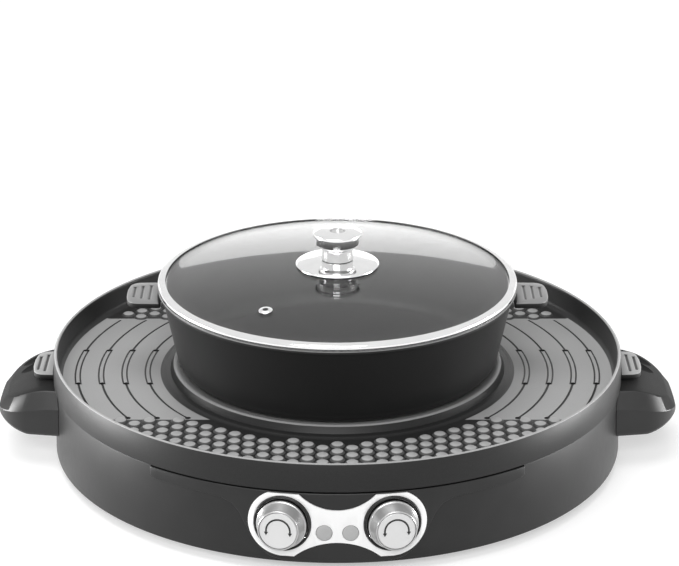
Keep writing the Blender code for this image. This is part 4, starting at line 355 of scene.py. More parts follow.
def spun_steel(name, level, roughness):
    """Polished steel with the fine rings that polishing on a lathe leaves."""
    finish = Finish(name, grey(level), roughness, Metallic=1.0)
    across, along, height = finish.axes()
    radius = (across * across + along * along).sum("SQRT")
    rings = finish.node("ShaderNodeCombineXYZ", X=radius, Y=height)
    lines = finish.noise(2600.0, 2.0, vector=rings.outputs[0])
    cloud = finish.noise(70.0, 2.0)
    finish.tint(cloud, grey(level * 0.93), grey(min(1.0, level * 1.05)))
    finish.feed("Roughness", (lines * 0.08 + cloud * 0.06 + (roughness - 0.07)).clamped())
    finish.bump(lines, 0.000004)
    return finish.material


def bar_steel(name, level, roughness):
    """Drawn steel of elements, pins and springs, slightly dulled by heat."""
    finish = Finish(name, grey(level), roughness, Metallic=1.0)
    cloud = finish.noise(120.0, 4.0)
    fine = finish.noise(1500.0, 3.0)
    finish.tint(cloud, grey(level * 0.75), [min(1.0, c) for c in (level * 1.1, level * 1.06, level)])
    finish.feed("Roughness", (cloud * 0.2 + fine * 0.1 + (roughness - 0.15)).clamped())
    finish.bump(fine, 0.00001)
    return finish.material


def silver_paint(name, level, roughness, metallic=0.25):
    """Silver lacquer over plastic: fine metal flakes under a soft gloss."""
    finish = Finish(name, grey(level), roughness, Metallic=metallic, Coat_Weight=0.3, Coat_Roughness=0.1)
    flakes = finish.noise(4500.0, 1.0)
    cloud = finish.noise(50.0, 2.0)
    finish.tint((flakes * 0.6 + cloud * 0.4).clamped(), grey(level * 0.92), grey(min(1.0, level * 1.06)))
    finish.feed("Roughness", (flakes * 0.1 + (roughness - 0.05)).clamped())
    finish.bump(flakes, 0.000006)
    return finish.material


def clear_glass(name, tint):
    """Toughened glass with the faint waves of its pressing."""
    finish = Finish(name, grey(tint), 0.02, Transmission_Weight=1.0, IOR=1.3)
    waves = finish.noise(26.0, 1.0)
    finish.feed("Roughness", (waves * 0.02 + 0.01).clamped())
    finish.bump(waves, 0.00003)
    return finish.material


def soft_rubber(name):
    """Matt black rubber with a coarse grain."""
    finish = Finish(name, grey(0.02), 0.75)
    grain = finish.noise(1200.0, 4.0)
    finish.tint(grain, grey(0.014), grey(0.03))
    finish.feed("Roughness", (grain * 0.2 + 0.65).clamped())
    finish.bump(grain, 0.00008)
    return finish.material


# After each name: greys, roughness and shine, then the zones in millimetres that get painted light
# Painted highlight: the rounded top of the housing's rim is painted lighter
GLOSS_BLACK = moulded_gloss("gloss black shell", 0.004, 0.4, 0.36, ((219.2, 222.4, RIM - 0.25, RIM + 1),))
HANDLE_BLACK = moulded_gloss("handle black", 0.004, 0.38, 0.5)
HANDLE_PAD = moulded_satin("handle pad", 0.012, 0.55, shine=0.08)
# Painted light on the tray's floor, the rib tops, the lip and the ledge half-way down the wall
TRAY_COATING = cast_coating("tray coating", 0.012, 0.52, 0.42, (
    (0, 198, TRAY_FLOOR - 2, TRAY_FLOOR + 0.6), (0, 142, TRAY_FLOOR + 8.2, TRAY_FLOOR + 12),
    (213.2, 215.8, 59.0, 60), (203.6, 205.4, 38.6, 39.2)), grain=1100.0)
# Painted light on the floor between the bump fields, the dish, the rim top and the ear tops; the floor under
# the bumps is left dark as painted shade
PAN_COATING = cast_coating("grill pan coating", 0.01, 0.32, 0.42, (
    (141, 219, PAN_FLOOR - 0.4, PAN_FLOOR + 6, 103), (0, 131, PAN_FLOOR + 2, PAN_FLOOR + 8),
    (221.5, 227, 86.2, 88), (226.2, 250, 69.4, 72)))
# Painted light and shade: the bump tops are painted light, and their lower slopes are left dark as painted
# shade between them
BUMP_COATING = cast_coating("food bump coating", 0.05, 0.34, 0.42, (
    (0, 225, PAN_FLOOR + 1.1, PAN_FLOOR + 4),))
# Painted light on the tops of the pot's ears and on its rim
POT_COATING = cast_coating("pot coating", 0.01, 0.2, 0.36, (
    (141.8, 170, 129.4, 132), (137, 142, 137.8, 140)), grain=1700.0)
# Painted light on the flat tops of the black mouldings near the middle, and on the connector blocks' tops and
# their step
BLACK_PLASTIC = moulded_satin("satin black plastic", 0.008, 0.36, ((0, 90, 57.2, 58.5),))
BLOCK_CERAMIC = moulded_satin("connector block", 0.008, 0.34, ((0, 230, 57.2, 58.5), (0, 230, 53.85, 54.3)))
THERMOSTAT_WHITE = moulded_satin("thermostat ceramic", 0.45, 0.5)
POLISHED_STEEL = spun_steel("polished steel", 0.78, 0.12)
DRAWN_STEEL = bar_steel("drawn steel", 0.55, 0.35)
SILVER_PLATE = silver_paint("silver plate", 0.86, 0.3)
KNOB_SILVER = silver_paint("knob silver", 0.42, 0.3, metallic=0.7)
KNOB_FACE_SILVER = silver_paint("knob face silver", 0.66, 0.38, metallic=0.2)
LENS_GREY = moulded_satin("lamp lens grey", 0.42, 0.3)
MARK_BLACK = moulded_satin("mark black", 0.008, 0.5)
LID_GLASS = clear_glass("lid glass", 0.8)
LAMP_GLASS = clear_glass("lamp glass", 0.85)
FOOT_RUBBER = soft_rubber("foot rubber")


def select_only(piece):
    bpy.ops.object.select_all(action="DESELECT")
    piece.select_set(True)
    bpy.context.view_layer.objects.active = piece


def edit(piece):
    """Open a piece's mesh with all of it selected."""
    select_only(piece)
    bpy.ops.object.mode_set(mode="EDIT")
    bpy.ops.mesh.select_all(action="SELECT")


def leave_edit():
    bpy.ops.object.mode_set(mode="OBJECT")


def settle(piece):
    """Move the object's place, turn and scale into its mesh."""
    select_only(piece)
    bpy.ops.object.transform_apply(location=True, rotation=True, scale=True)
    return piece


def at(piece, matrix):
    """Move and turn a piece by a matrix."""
    piece.matrix_world = matrix @ piece.matrix_world
    return settle(piece)


def soften(piece, angle=32):
    """Smooth shading, with every edge sharper than the angle left crisp."""
    select_only(piece)
    bpy.ops.object.shade_smooth_by_angle(angle=math.radians(angle))
    return piece


def apply_modifier(piece, kind, **settings):
    """Put a modifier on a piece and fix its result in the mesh."""
    select_only(piece)
    change = piece.modifiers.new(kind.title(), kind)
    for name, value in settings.items():
        setattr(change, name, value)
    bpy.ops.object.modifier_apply(modifier=change.name)
    return piece


def even_normals(piece, angle):
    """Smooth shading that leaves large flat faces flat."""
    soften(piece, angle)
    return apply_modifier(piece, "WEIGHTED_NORMAL", keep_sharp=True)


def join_shapes(piece, operation, *tools):
    """Add or cut tools, or keep what a piece shares with them. The tools are used up."""
    for tool in tools:
        apply_modifier(piece, "BOOLEAN", object=tool, operation=operation, solver="EXACT")
        bpy.data.objects.remove(tool, do_unlink=True)
    return piece


def rounded(piece, width, segments, angle=40):
    """Round the edges sharper than the angle, to a width in millimetres."""
    return apply_modifier(piece, "BEVEL", width=width * MM, segments=segments, limit_method="ANGLE",
                          angle_limit=math.radians(angle), harden_normals=False)


def primitive(name, add, **settings):
    """Run one of Blender's add operators and name what it made."""
    bpy.ops.object.select_all(action="DESELECT")
    add(**settings)
    piece = bpy.context.object
    piece.name = name
    return piece


def merged(piece, others):
    """Join other pieces to a piece, as one object."""
    select_only(piece)
    for other in others:
        other.select_set(True)
    bpy.ops.object.join()
    return piece


def face_outwards():
    """Turn all faces of the open mesh outwards."""
    bpy.ops.mesh.select_all(action="SELECT")
    bpy.ops.mesh.normals_make_consistent(inside=False)


def close_ends():
    """Fill every open edge and turn all faces outwards."""
    bpy.ops.mesh.select_all(action="SELECT")
    bpy.ops.mesh.fill_holes(sides=0)
    face_outwards()


def turned(name, profile, sides, ring=False):
    """Start from a circle and draw its edge along (radius, height) points in millimetres.

    A ring's last edge joins its first, and any other piece is filled at both.
    """
    radius, height = profile[0]
    piece = settle(primitive(name, bpy.ops.mesh.primitive_circle_add, vertices=sides, radius=radius * MM,
                             location=(0, 0, height * MM)))
    edit(piece)
    for next_radius, next_height in profile[1:]:
        bpy.ops.mesh.extrude_edges_move(TRANSFORM_OT_translate={"value": (0, 0, (next_height - height) * MM)})
        share = next_radius / radius
        bpy.ops.transform.resize(value=(share, share, 1), center_override=(0, 0, next_height * MM))
        radius, height = next_radius, next_height
    bpy.ops.mesh.select_all(action="DESELECT")
    bpy.ops.mesh.select_non_manifold(extend=False, use_wire=False, use_boundary=True, use_multi_face=False,
                                     use_non_contiguous=False, use_verts=False)
    if ring:
        bpy.ops.mesh.bridge_edge_loops()
    else:
        bpy.ops.mesh.fill_holes(sides=0)
    face_outwards()
    leave_edit()
    return piece


def block(name, low, high):
    """A box between two corners in millimetres."""
    middle = [(a + b) / 2 * MM for a, b in zip(low, high)]
    size = [(b - a) * MM for a, b in zip(low, high)]
    return settle(primitive(name, bpy.ops.mesh.primitive_cube_add, size=1, location=middle, scale=size))


def round_bar(name, radius, low, high, place=(0, 0), sides=SMALL_FACETS):
    """An upright cylinder between two heights in millimetres."""
    return settle(primitive(name, bpy.ops.mesh.primitive_cylinder_add, vertices=sides, radius=radius * MM,
                            depth=(high - low) * MM,
                            location=(place[0] * MM, place[1] * MM, (low + high) / 2 * MM)))


def prism(name, outline, low, high):
    """An outline in millimetres, drawn upwards from one height to another."""
    piece = primitive(name, bpy.ops.mesh.primitive_circle_add, vertices=len(outline), radius=0.1,
                      fill_type="NGON")
    for vertex, (x, y) in zip(piece.data.vertices, outline):
        vertex.co = (x * MM, y * MM, low * MM)
    edit(piece)
    bpy.ops.mesh.extrude_region_move(TRANSFORM_OT_translate={"value": (0, 0, (high - low) * MM)})
    face_outwards()
    leave_edit()
    return piece


def loft(name, rings):
    """A closed skin over rings of points in millimetres, the first and last ring filled."""
    columns = len(rings[0])
    piece = primitive(name, bpy.ops.mesh.primitive_grid_add, x_subdivisions=columns,
                      y_subdivisions=len(rings) - 1)
    for row, ring in enumerate(rings):
        for column in range(columns + 1):
            piece.data.vertices[row * (columns + 1) + column].co = Vector(ring[column % columns]) * MM
    edit(piece)
    bpy.ops.mesh.remove_doubles(threshold=0.00001)
    close_ends()
    leave_edit()
    return piece


def arc_points(centre, radius, start, end, steps):
    """Points along a circle between two angles in degrees."""
    points = []
    for step in range(steps + 1):
        angle = math.radians(start + (end - start) * step / steps)
        points.append((centre[0] + radius * math.cos(angle), centre[1] + radius * math.sin(angle)))
    return points


def wear(piece, material, body, slot, *replaced):
    """Give a piece its finish, the body it moves with and the nodes it stands for."""
    piece.data.materials.clear()
    piece.data.materials.append(material)
    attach(piece, body)
    if replaced:
        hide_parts(*replaced)
    return piece


def node_copy(name, node):
    """A welded copy of a CAD node, to round or smooth."""
    piece = bpy.data.objects.new(name, nodes[node].data.copy())
    bpy.context.scene.collection.objects.link(piece)
    edit(piece)
    bpy.ops.mesh.remove_doubles(threshold=0.000001)
    leave_edit()
    return piece


def panel_radius(height):
    """Distance from the middle to the leaning front panel at a height."""
    return WALL_TOP + PANEL_PROUD + (RIM - height) * math.tan(PANEL_LEAN)


def panel_frame(side_offset, height):
    """A place on the leaning panel whose Z points straight out of it, in metres."""
    radius = panel_radius(height)
    turn = math.asin(side_offset / radius)
    place = Vector((side_offset, -radius * math.cos(turn), height)) * MM
    outwards = Vector((math.sin(turn) * math.cos(PANEL_LEAN), -math.cos(turn) * math.cos(PANEL_LEAN),
                       math.sin(PANEL_LEAN)))
    across = Vector((math.cos(turn), math.sin(turn), 0))
    rotation = Matrix((across, outwards.cross(across), outwards)).transposed().to_4x4()
    return Matrix.Translation(place) @ rotation


def ring_slice(name, low, high, inset, outset):
    """A ring parallel to the leaning panel, between two heights and two distances from it."""
    top, foot = panel_radius(high), panel_radius(low)
    return turned(name, ((top + inset, high), (top + outset, high), (foot + outset, low),
                         (foot + inset, low)), WALL_FACETS, ring=True)


def housing_shell():
    """Smooth wall with its rolled rim and the ledge that carries the tray."""
    wall = turned("housing_wall", (
        (213.5, 54.9), (213.5, 52.6), (221.4, 52.4), (223.0, FOOT_EDGE), (225.0, FOOT_EDGE),
        (225.8, FOOT_EDGE + 0.4), (WALL_FOOT, FOOT_EDGE + 1.2), (WALL_TOP, RIM - 1.4), (223.7, RIM - 0.5),
        (223.0, RIM), (219.8, RIM), (219.0, RIM - 0.5), (218.7, RIM - 1.4), (218.7, 55.0)),
        WALL_FACETS, ring=True)
    soften(wall, 28)
    wear(wall, GLOSS_BLACK, "base", "glossy_black", "base_housing")


def front_apron():
    """Raised band at the front that widens into the apron around the knobs."""
    half = ((137.6, RIM - 0.4), (137.4, 57.5), (134.5, 55.6), (122.0, 55.3), (98.0, 54.9), (84.0, 53.8),
            (76.5, 50.8), (71.5, 45.0), (67.5, 37.0), (63.0, 28.5), (57.0, 20.0), (49.0, 13.6), (40.0, 11.4),
            (22.0, 11.0))
    view = prism("apron view", list(half) + [(-x, z) for x, z in reversed(half)], 100, 260)
    at(view, Matrix.Rotation(math.pi / 2, 4, "X"))
    apron = turned("front_apron", ((222.6, RIM - 0.4), (panel_radius(RIM), RIM - 0.4),
                                   (panel_radius(9), 9), (223.5, 9)), WALL_FACETS, ring=True)
    join_shapes(apron, "INTERSECT", view)
    rounded(apron, 0.7, 3, 50)
    soften(apron, 30)
    wear(apron, GLOSS_BLACK, "base", "glossy_black")


def silver_plate():
    """Dumbbell-shaped plate, cut from discs, a bar and two waist cylinders."""
    plate = ring_slice("dumbbell_plate", 12, RIM - 1, 0.3, 1.5)
    stand = Matrix.Translation((0, 0, KNOB_HEIGHT * MM)) @ Matrix.Rotation(math.pi / 2, 4, "X")
    half_bar = PLATE_ROUND - 0.1
    view = block("plate view", (-KNOB_SIDE, -half_bar, 150), (KNOB_SIDE, half_bar, 300))
    for reach, way in PLATE_WAIST:
        radius = (KNOB_SIDE ** 2 + reach ** 2 - PLATE_ROUND ** 2) / (2 * (PLATE_ROUND - reach))
        join_shapes(view, "DIFFERENCE",
                    round_bar("waist", radius, 140, 310, (0, way * (reach + radius)), 160))
    for _, sign in SIDES:
        disc = round_bar("disc", PLATE_ROUND, 150, 300, (sign * KNOB_SIDE, 0), KNOB_FACETS)
        join_shapes(view, "UNION", disc)
    at(view, stand)
    join_shapes(plate, "INTERSECT", view)
    for _, sign in SIDES:
        hole = round_bar("bezel hole", BEZEL_HOLE, -8, 8, sides=KNOB_FACETS)
        lamp_hole = round_bar("lamp hole", LAMP_HOLE, -8, 8)
        join_shapes(plate, "DIFFERENCE", at(hole, panel_frame(sign * KNOB_SIDE, KNOB_HEIGHT)),
                    at(lamp_hole, panel_frame(sign * LAMP_SIDE, LAMP_HEIGHT)))
    rounded(plate, 0.35, 2, 50)
    soften(plate, 30)
    wear(plate, SILVER_PLATE, "base", "silver_plastic", "front_plate")


def knob_set(side, sign):
    """Bezel dish with its bright ring, tapered knob, face disc, pointer and the curved arrow."""
    place = panel_frame(sign * KNOB_SIDE, KNOB_HEIGHT)
    body = side + "_knob"
    dish = turned("bezel_dish_" + side, (
        (4.6, 1.0), (18.7, 1.0), (19.2, 1.2), (19.7, 2.3), (20.2, 2.6), (20.7, 2.4), (21.0, 1.9),
        (21.0, -1.6), (4.6, -1.6)), KNOB_FACETS, ring=True)
    wear(soften(at(dish, place)), BLACK_PLASTIC, "base", "satin_black", "knob_bezel_" + side)
    bright = turned("bezel_ring_" + side, (
        (18.75, 1.05), (18.8, 1.5), (19.2, 1.75), (19.4, 1.6), (19.3, 1.1)), KNOB_FACETS, ring=True)
    wear(soften(at(bright, place), 60), POLISHED_STEEL, "base", "steel")
    foot = KNOB_FOOT
    tip = foot + KNOB_LENGTH
    knob = turned("control_knob_" + side, (
        (3.4, foot), (18.0, foot), (18.3, foot + 0.3), (18.3, foot + 1.9), (18.0, foot + 2.2),
        (17.5, foot + 2.4), (17.2, foot + 2.9), (15.15, tip - 0.8), (14.9, tip - 0.25), (14.6, tip),
        (14.2, tip - 0.05), (14.0, tip - 0.4), (14.0, tip - 1.4), (3.4, tip - 1.4)), KNOB_FACETS)
    wear(soften(at(knob, place)), KNOB_SILVER, body, "silver_plastic", "knob_" + side)
    face = turned("control_face_" + side, (
        (6.0, tip - 1.2), (13.6, tip - 1.2), (13.6, tip - 0.5), (13.3, tip - 0.3), (6.0, tip - 0.22)),
        KNOB_FACETS)
    wear(soften(at(face, place)), KNOB_FACE_SILVER, body, "silver_plastic", "knob_face_" + side)
    pointer = block("pointer_" + side, (-0.7, 14.6, foot + 3.4), (0.7, 17.0, tip - 2.6))
    # The knob tapers, so the pointer's upper end leans in with it
    for vertex in pointer.data.vertices:
        if vertex.co.z > (foot + 5) * MM:
            vertex.co.y -= 1.5 * MM
    rounded(pointer, 0.4, 2)
    wear(soften(at(pointer, place)), SILVER_PLATE, body, "silver_plastic")
    arrow = curved_arrow("curved_arrow_" + side, 8.7, 0.62, tip - 0.3, tip - 0.06)
    wear(at(arrow, place), MARK_BLACK, body, "satin_black")


def curved_arrow(name, radius, half_width, low, high):
    """Half ring with an arrow head at each end, all pointing down."""
    near, far = radius - half_width, radius + half_width
    mark = turned(name, ((near, low), (near, high), (far, high), (far, low)), KNOB_FACETS, ring=True)
    edit(mark)
    bpy.ops.mesh.bisect(plane_co=(0, -0.9 * MM, 0), plane_no=(0, 1, 0), clear_inner=True, use_fill=True)
    leave_edit()
    heads = []
    for _, sign in SIDES:
        heads.append(settle(primitive(
            "arrow head", bpy.ops.mesh.primitive_cylinder_add, vertices=3, radius=1.75 * MM,
            depth=(high - low) * MM, location=(sign * radius * MM, -1.9 * MM, (high + low) / 2 * MM),
            rotation=(0, 0, math.radians(180)))))
    return merged(mark, heads)


def lamp_lens(side, sign):
    """Pale lens of an indicator lamp, low and slightly domed."""
    lens = turned("lens_" + side, (
        (4.2, 0.3), (5.8, 0.3), (5.8, 1.5), (5.6, 1.8), (5.1, 1.95), (2.0, 2.0)), SMALL_FACETS)
    wear(soften(at(lens, panel_frame(sign * LAMP_SIDE, LAMP_HEIGHT))), LENS_GREY, "base", "lens_grey",
         "lamp_lens_" + side)


def pressed_tray():
    """Deep pressed tray with its lip, the line half-way down its wall and the coved floor."""
    lip = 212.6
    tray = turned("pressed_tray", (
        (60, TRAY_FLOOR), (186.5, TRAY_FLOOR), (191.0, TRAY_FLOOR + 0.7), (195.0, TRAY_FLOOR + 2.4),
        (198.0, TRAY_FLOOR + 5.0), (203.5, 38.3), (203.9, 38.8), (205.3, 38.9), (205.7, 39.4),
        (lip - 0.8, 57.6), (lip, 58.8), (lip + 0.9, TRAY_LIP), (215.3, TRAY_LIP), (216.2, 58.9),
        (216.2, 55.3), (215.0, 55.3), (215.0, 58.2), (lip + 1.2, 58.2), (206.9, 37.6), (204.7, 37.6),
        (199.2, TRAY_FLOOR + 4), (191.0, TRAY_FLOOR - 0.6), (186.5, TRAY_FLOOR - 1.2),
        (60, TRAY_FLOOR - 1.2)), WALL_FACETS)
    soften(tray, 30)
    wear(tray, TRAY_COATING, "base", "tray_coating", "inner_tray")
    for number, degrees in enumerate(RIB_ANGLES, 1):
        place_rib(block("tray_rib_%d" % number, (63, -3, RIB_FOOT), (138, 3, RIB_TOP)), degrees)
    place_rib(block("tray_rib_wide", (89, -8.5, RIB_FOOT), (136, 8.5, RIB_TOP)), WIDE_RIB_ANGLE)
    for number, degrees in enumerate(BOSS_ANGLES, 1):
        boss = turned("tray_boss_%d" % number, (
            (4.3, RIB_FOOT), (6.5, RIB_FOOT), (6.3, TRAY_FLOOR + 0.4), (6.1, TRAY_FLOOR + 2.6),
            (5.7, TRAY_FLOOR + 3.0), (4.7, TRAY_FLOOR + 3.0), (4.3, TRAY_FLOOR + 2.6)),
            SMALL_FACETS, ring=True)
        angle = math.radians(degrees)
        at(boss, Matrix.Translation((BOSS_RING * MM * math.cos(angle), BOSS_RING * MM * math.sin(angle), 0)))
        wear(soften(boss), TRAY_COATING, "base", "tray_coating")


def place_rib(rib, degrees):
    """Round a rib's edges and turn it to its angle on the tray's floor."""
    rounded(rib, 0.8, 3)
    at(rib, Matrix.Rotation(math.radians(degrees), 4, "Z"))
    wear(soften(rib), TRAY_COATING, "base", "tray_coating")


def grip_top(x):
    """Height of the handle's pad, which slopes down to the tip."""
    return RIM - 14.0 * max(0.0, (x - 229) / 35.5) ** 1.7


def grip_shoulder(x):
    """Height of the lower edge of the bevel round the pad."""
    return 51.5 - 8.5 * max(0.0, (x - 222) / 48) ** 1.5


def grip_foot(x):
    """Height of the handle's underside, which rises towards the tip."""
    return 27.6 + 10.0 * max(0.0, (x - 244) / 26.5) ** 1.3


def grip(side, sign):
    """Wing-shaped handle: a sloping pad with two scoops, bevelled shoulders, a hollow for the fingers."""
    path = [(GRIP_ROOT + 7.2 * step, 53.6 - 1.12 * step) for step in range(6)]
    path += arc_points((239.8, 17), 30, 84, 12, 12) + [(269.5, 16), (269.7, 8)]
    outline = path + [(GRIP_TIP, 0)] + [(x, -y) for x, y in reversed(path)]
    rings = []
    for along, across, level, rise in (
            (0.955, 0.95, grip_foot, 0), (0.985, 0.98, grip_foot, 0.5), (1, 1, grip_foot, 2.5),
            (1, 1, grip_shoulder, -0.5), (0.995, 0.994, grip_shoulder, 0.1),
            (0.925, 0.885, grip_top, -1.0), (0.915, 0.87, grip_top, -0.4), (0.9, 0.85, grip_top, -0.2),
            (0.9, 0.68, grip_top, -0.06), (0.9, 0.45, grip_top, 0), (0.9, 0.2, grip_top, 0),
            (0.9, 0, grip_top, 0)):
        ring = [(GRIP_ROOT + (x - GRIP_ROOT) * along, y * across) for x, y in outline]
        rings.append([(x, y, level(x) + rise) for x, y in ring])
    hollow = [(GRIP_ROOT + (x - GRIP_ROOT) * 0.9, y * 0.86) if x > HOLLOW_ROOT + 4
              else (HOLLOW_ROOT, math.copysign(HOLLOW_SIDE, y)) for x, y in outline]
    rings = [[(x, y, HOLLOW_TOP) for x, y in hollow], [(x, y, grip_foot(x) + 0.2) for x, y in hollow]] + rings
    piece = loft("grip_" + side, rings)
    wall = turned("wall seat", ((WALL_FOOT + 0.35, 0), (WALL_TOP + 0.35, RIM + 2)), CUTTER_FACETS)
    scoops = []
    for y in SCOOP_SIDES:
        scoop = primitive("scoop", bpy.ops.mesh.primitive_uv_sphere_add, segments=SMALL_FACETS,
                          ring_count=24, radius=MM)
        scoop.scale = SCOOP_SIZE
        place = Matrix.Translation((SCOOP_REACH * MM, y * MM, (grip_top(SCOOP_REACH) + 0.5) * MM))
        scoops.append(at(settle(scoop), place @ Matrix.Rotation(math.radians(-12), 4, "Z")
                         @ Matrix.Rotation(math.radians(15), 4, "Y")))
    join_shapes(piece, "DIFFERENCE", wall, *scoops)
    even_normals(piece, 24)
    if sign < 0:
        select_only(piece)
        bpy.ops.transform.mirror(constraint_axis=(True, False, False), center_override=(0, 0, 0))
        settle(piece)
        edit(piece)
        face_outwards()
        leave_edit()
    wear(piece, HANDLE_BLACK, "base", "glossy_black", "handle_" + side)
    piece.data.materials.append(HANDLE_PAD)
    # The flat of the pad and the scoops in it are matt
    for face in piece.data.polygons:
        across, along, height = face.center / MM
        scooped = abs(along) < 38 and height > grip_top(abs(across)) - 4.5 and face.normal.z > 0.5
        if scooped or face.normal.z > 0.88 and abs(across) < 263:
            face.material_index = 1


def food_bump():
    """One low rounded stud of the pan's floor."""
    stud = primitive("stud", bpy.ops.mesh.primitive_circle_add, vertices=14, radius=BUMP_RADIUS * MM)
    edit(stud)
    for rise, share in ((0.8, 0.88), (0.8, 0.76), (0.45, 0.55), (0.15, 0.1)):
        bpy.ops.mesh.extrude_edges_move(TRANSFORM_OT_translate={"value": (0, 0, rise * MM)})
        bpy.ops.transform.resize(value=(share, share, 1))
    close_ends()
    leave_edit()
    return soften(stud, 60)


def food_bumps():
    """Staggered studs on the floor in front of and behind the raised seat."""
    first = food_bump()
    studs = []
    columns, rows = range(-19, 20), range(-18, 19)  # enough to cover the pan
    for column in columns:
        x = column * BUMP_PITCH_X
        for row in rows:
            y = (row + (0.5 if column % 2 else 0.0)) * BUMP_PITCH_Y
            distance = math.hypot(x, y)
            if abs(y) < BUMPS_BEGIN or distance < BUMPS_NEAR or distance > BUMPS_FAR:
                continue
            stud = first.copy()
            stud.data = first.data.copy()
            bpy.context.scene.collection.objects.link(stud)
            stud.location = (x * MM, y * MM, (PAN_FLOOR - 0.1) * MM)
            studs.append(stud)
    bpy.data.objects.remove(first, do_unlink=True)
    field = merged(studs[0], studs[1:])
    field.name = "food_bumps"
    settle(field)
    wear(field, BUMP_COATING, "grill_pan", "cast_coating")


def arc_tool(radius, thickness, near, far):
    """Half-round cutter along a circle on the pan's floor, kept where |y| lies between two distances."""
    tool = settle(primitive("groove", bpy.ops.mesh.primitive_torus_add, major_radius=radius * MM,
                            minor_radius=thickness / 2 * MM, major_segments=CUTTER_FACETS, minor_segments=8,
                            location=(0, 0, (PAN_FLOOR + 0.1) * MM)))
    edit(tool)
    bpy.ops.mesh.bisect(plane_co=(0, -far * MM, 0), plane_no=(0, 1, 0), clear_inner=True, use_fill=True)
    bpy.ops.mesh.select_all(action="SELECT")
    bpy.ops.mesh.bisect(plane_co=(0, far * MM, 0), plane_no=(0, 1, 0), clear_outer=True, use_fill=True)
    leave_edit()
    if near:
        keep = block("keep", (-260, -near, 0), (260, near, 200))
        join_shapes(tool, "DIFFERENCE", keep)
    return tool


def pan_casting():
    """Smooth pan: wall, rolled rim, floor, raised seat with its dark lip, and the channel grooves."""
    pan = turned("pan_casting", (
        (60, 66.6), (126, 66.6), (129, 62.6), (210.5, 62.6), (210.5, 64.7), (225.4, 64.7), (226.0, 65.3),
        (225.1, 85.8), (224.6, 86.6), (223.6, 87.0), (222.7, 86.7), (222.2, 85.9), (222.0, 84.5),
        (221.9, 71.4), (221.2, 69.0), (219.6, 67.2), (217.2, PAN_FLOOR), (141.0, PAN_FLOOR), (139.4, 66.6),
        (138.0, 67.6), (136.6, 68.2), (134.4, 68.2), (133.4, 68.4), (131.6, 71.8), (131.0, 73.1),
        (129.9, 73.7), (128.4, 73.8), (127.2, 73.5), (125.6, 72.6), (122.8, 71.3), (120, PAN_DISH),
        (60, PAN_DISH)), WALL_FACETS)
    tools = []
    for radius in CHANNEL_RADII:
        tools.append(arc_tool(radius, 2.0, *CHANNEL_SINGLE))
        for _, sign in SIDES:
            tools.append(arc_tool(radius + sign * CHANNEL_GAP, 1.5, *CHANNEL_SPLIT))
        for _, sign in SIDES:
            for y in CHANNEL_DOTS:
                x = sign * math.sqrt(radius ** 2 - y ** 2)
                place = (x + DOT_SHIFT[0], y + DOT_SHIFT[1])
                tools.append(round_bar("dot", 2.35, PAN_FLOOR - 1.3, PAN_FLOOR + 3.1, place, 18))
    cutter = tools[0]
    for tool in tools[1:]:
        join_shapes(cutter, "UNION", tool)
    join_shapes(pan, "DIFFERENCE", cutter)
    soften(pan, 30)
    wear(pan, PAN_COATING, "grill_pan", "cast_coating", "grill_pan")


def grooved_ear(name, sign, root, reach, half_width, top, grooves, body, material):
    """Tongue with a bowed end and shallow flutes that each finish in a dot at the front."""
    corner = 9.0
    outline = [(root, -half_width)]
    outline += arc_points((reach - corner - 1.2, corner - half_width + 0.6), corner, -84, -14, 8)
    outline += [(reach - 0.15, -half_width * 0.3), (reach, 0), (reach - 0.15, half_width * 0.3)]
    outline += arc_points((reach - corner - 1.2, half_width - corner - 0.6), corner, 14, 84, 8)
    outline += [(root, half_width)]
    tongue = prism(name, [(sign * x, y) for x, y in outline[::sign]], top - 4.4, top)
    rounded(tongue, 0.8, 3, 50)
    for x, back, front in grooves:
        flute = round_bar("flute", 2.6, front, back, sides=24)
        at(flute, Matrix.Translation((sign * x * MM, 0, (top + 1.9) * MM))
           @ Matrix.Rotation(-math.pi / 2, 4, "X"))
        join_shapes(tongue, "DIFFERENCE", flute,
                    round_bar("dot", 1.25, top - 2.2, top + 3, (sign * x, front + 0.4), 20))
    soften(tongue, 35)
    wear(tongue, material, body, "cast_coating")


def deep_pot():
    """Pot with its curved foot, straight wall and the stepped rim that carries the lid."""
    foot = (114.0, POT_FOOT + 14.0)
    outer = arc_points(foot, 14.0, -90, -6, 8)
    inner = arc_points(foot, 11.5, -6, -90, 8)
    pot = turned("deep_pot", [(60, POT_FOOT)] + outer + [
        (138.9, 135.2), (139.6, 135.7), (141.2, 136.0), (141.5, 136.5), (141.5, 138.1), (141.1, POT_RIM),
        (139.5, POT_RIM), (139.0, 138.1), (136.4, 135.2)] + inner + [(60, POT_FOOT + 2.5)], WALL_FACETS)
    soften(pot, 30)
    wear(pot, POT_COATING, "pot", "cast_coating", "pot")


def dome(radius):
    """Height of the glass at a distance from its middle."""
    return GLASS_TOP + GLASS_RISE - DOME_SPHERE + math.sqrt(DOME_SPHERE ** 2 - radius ** 2)


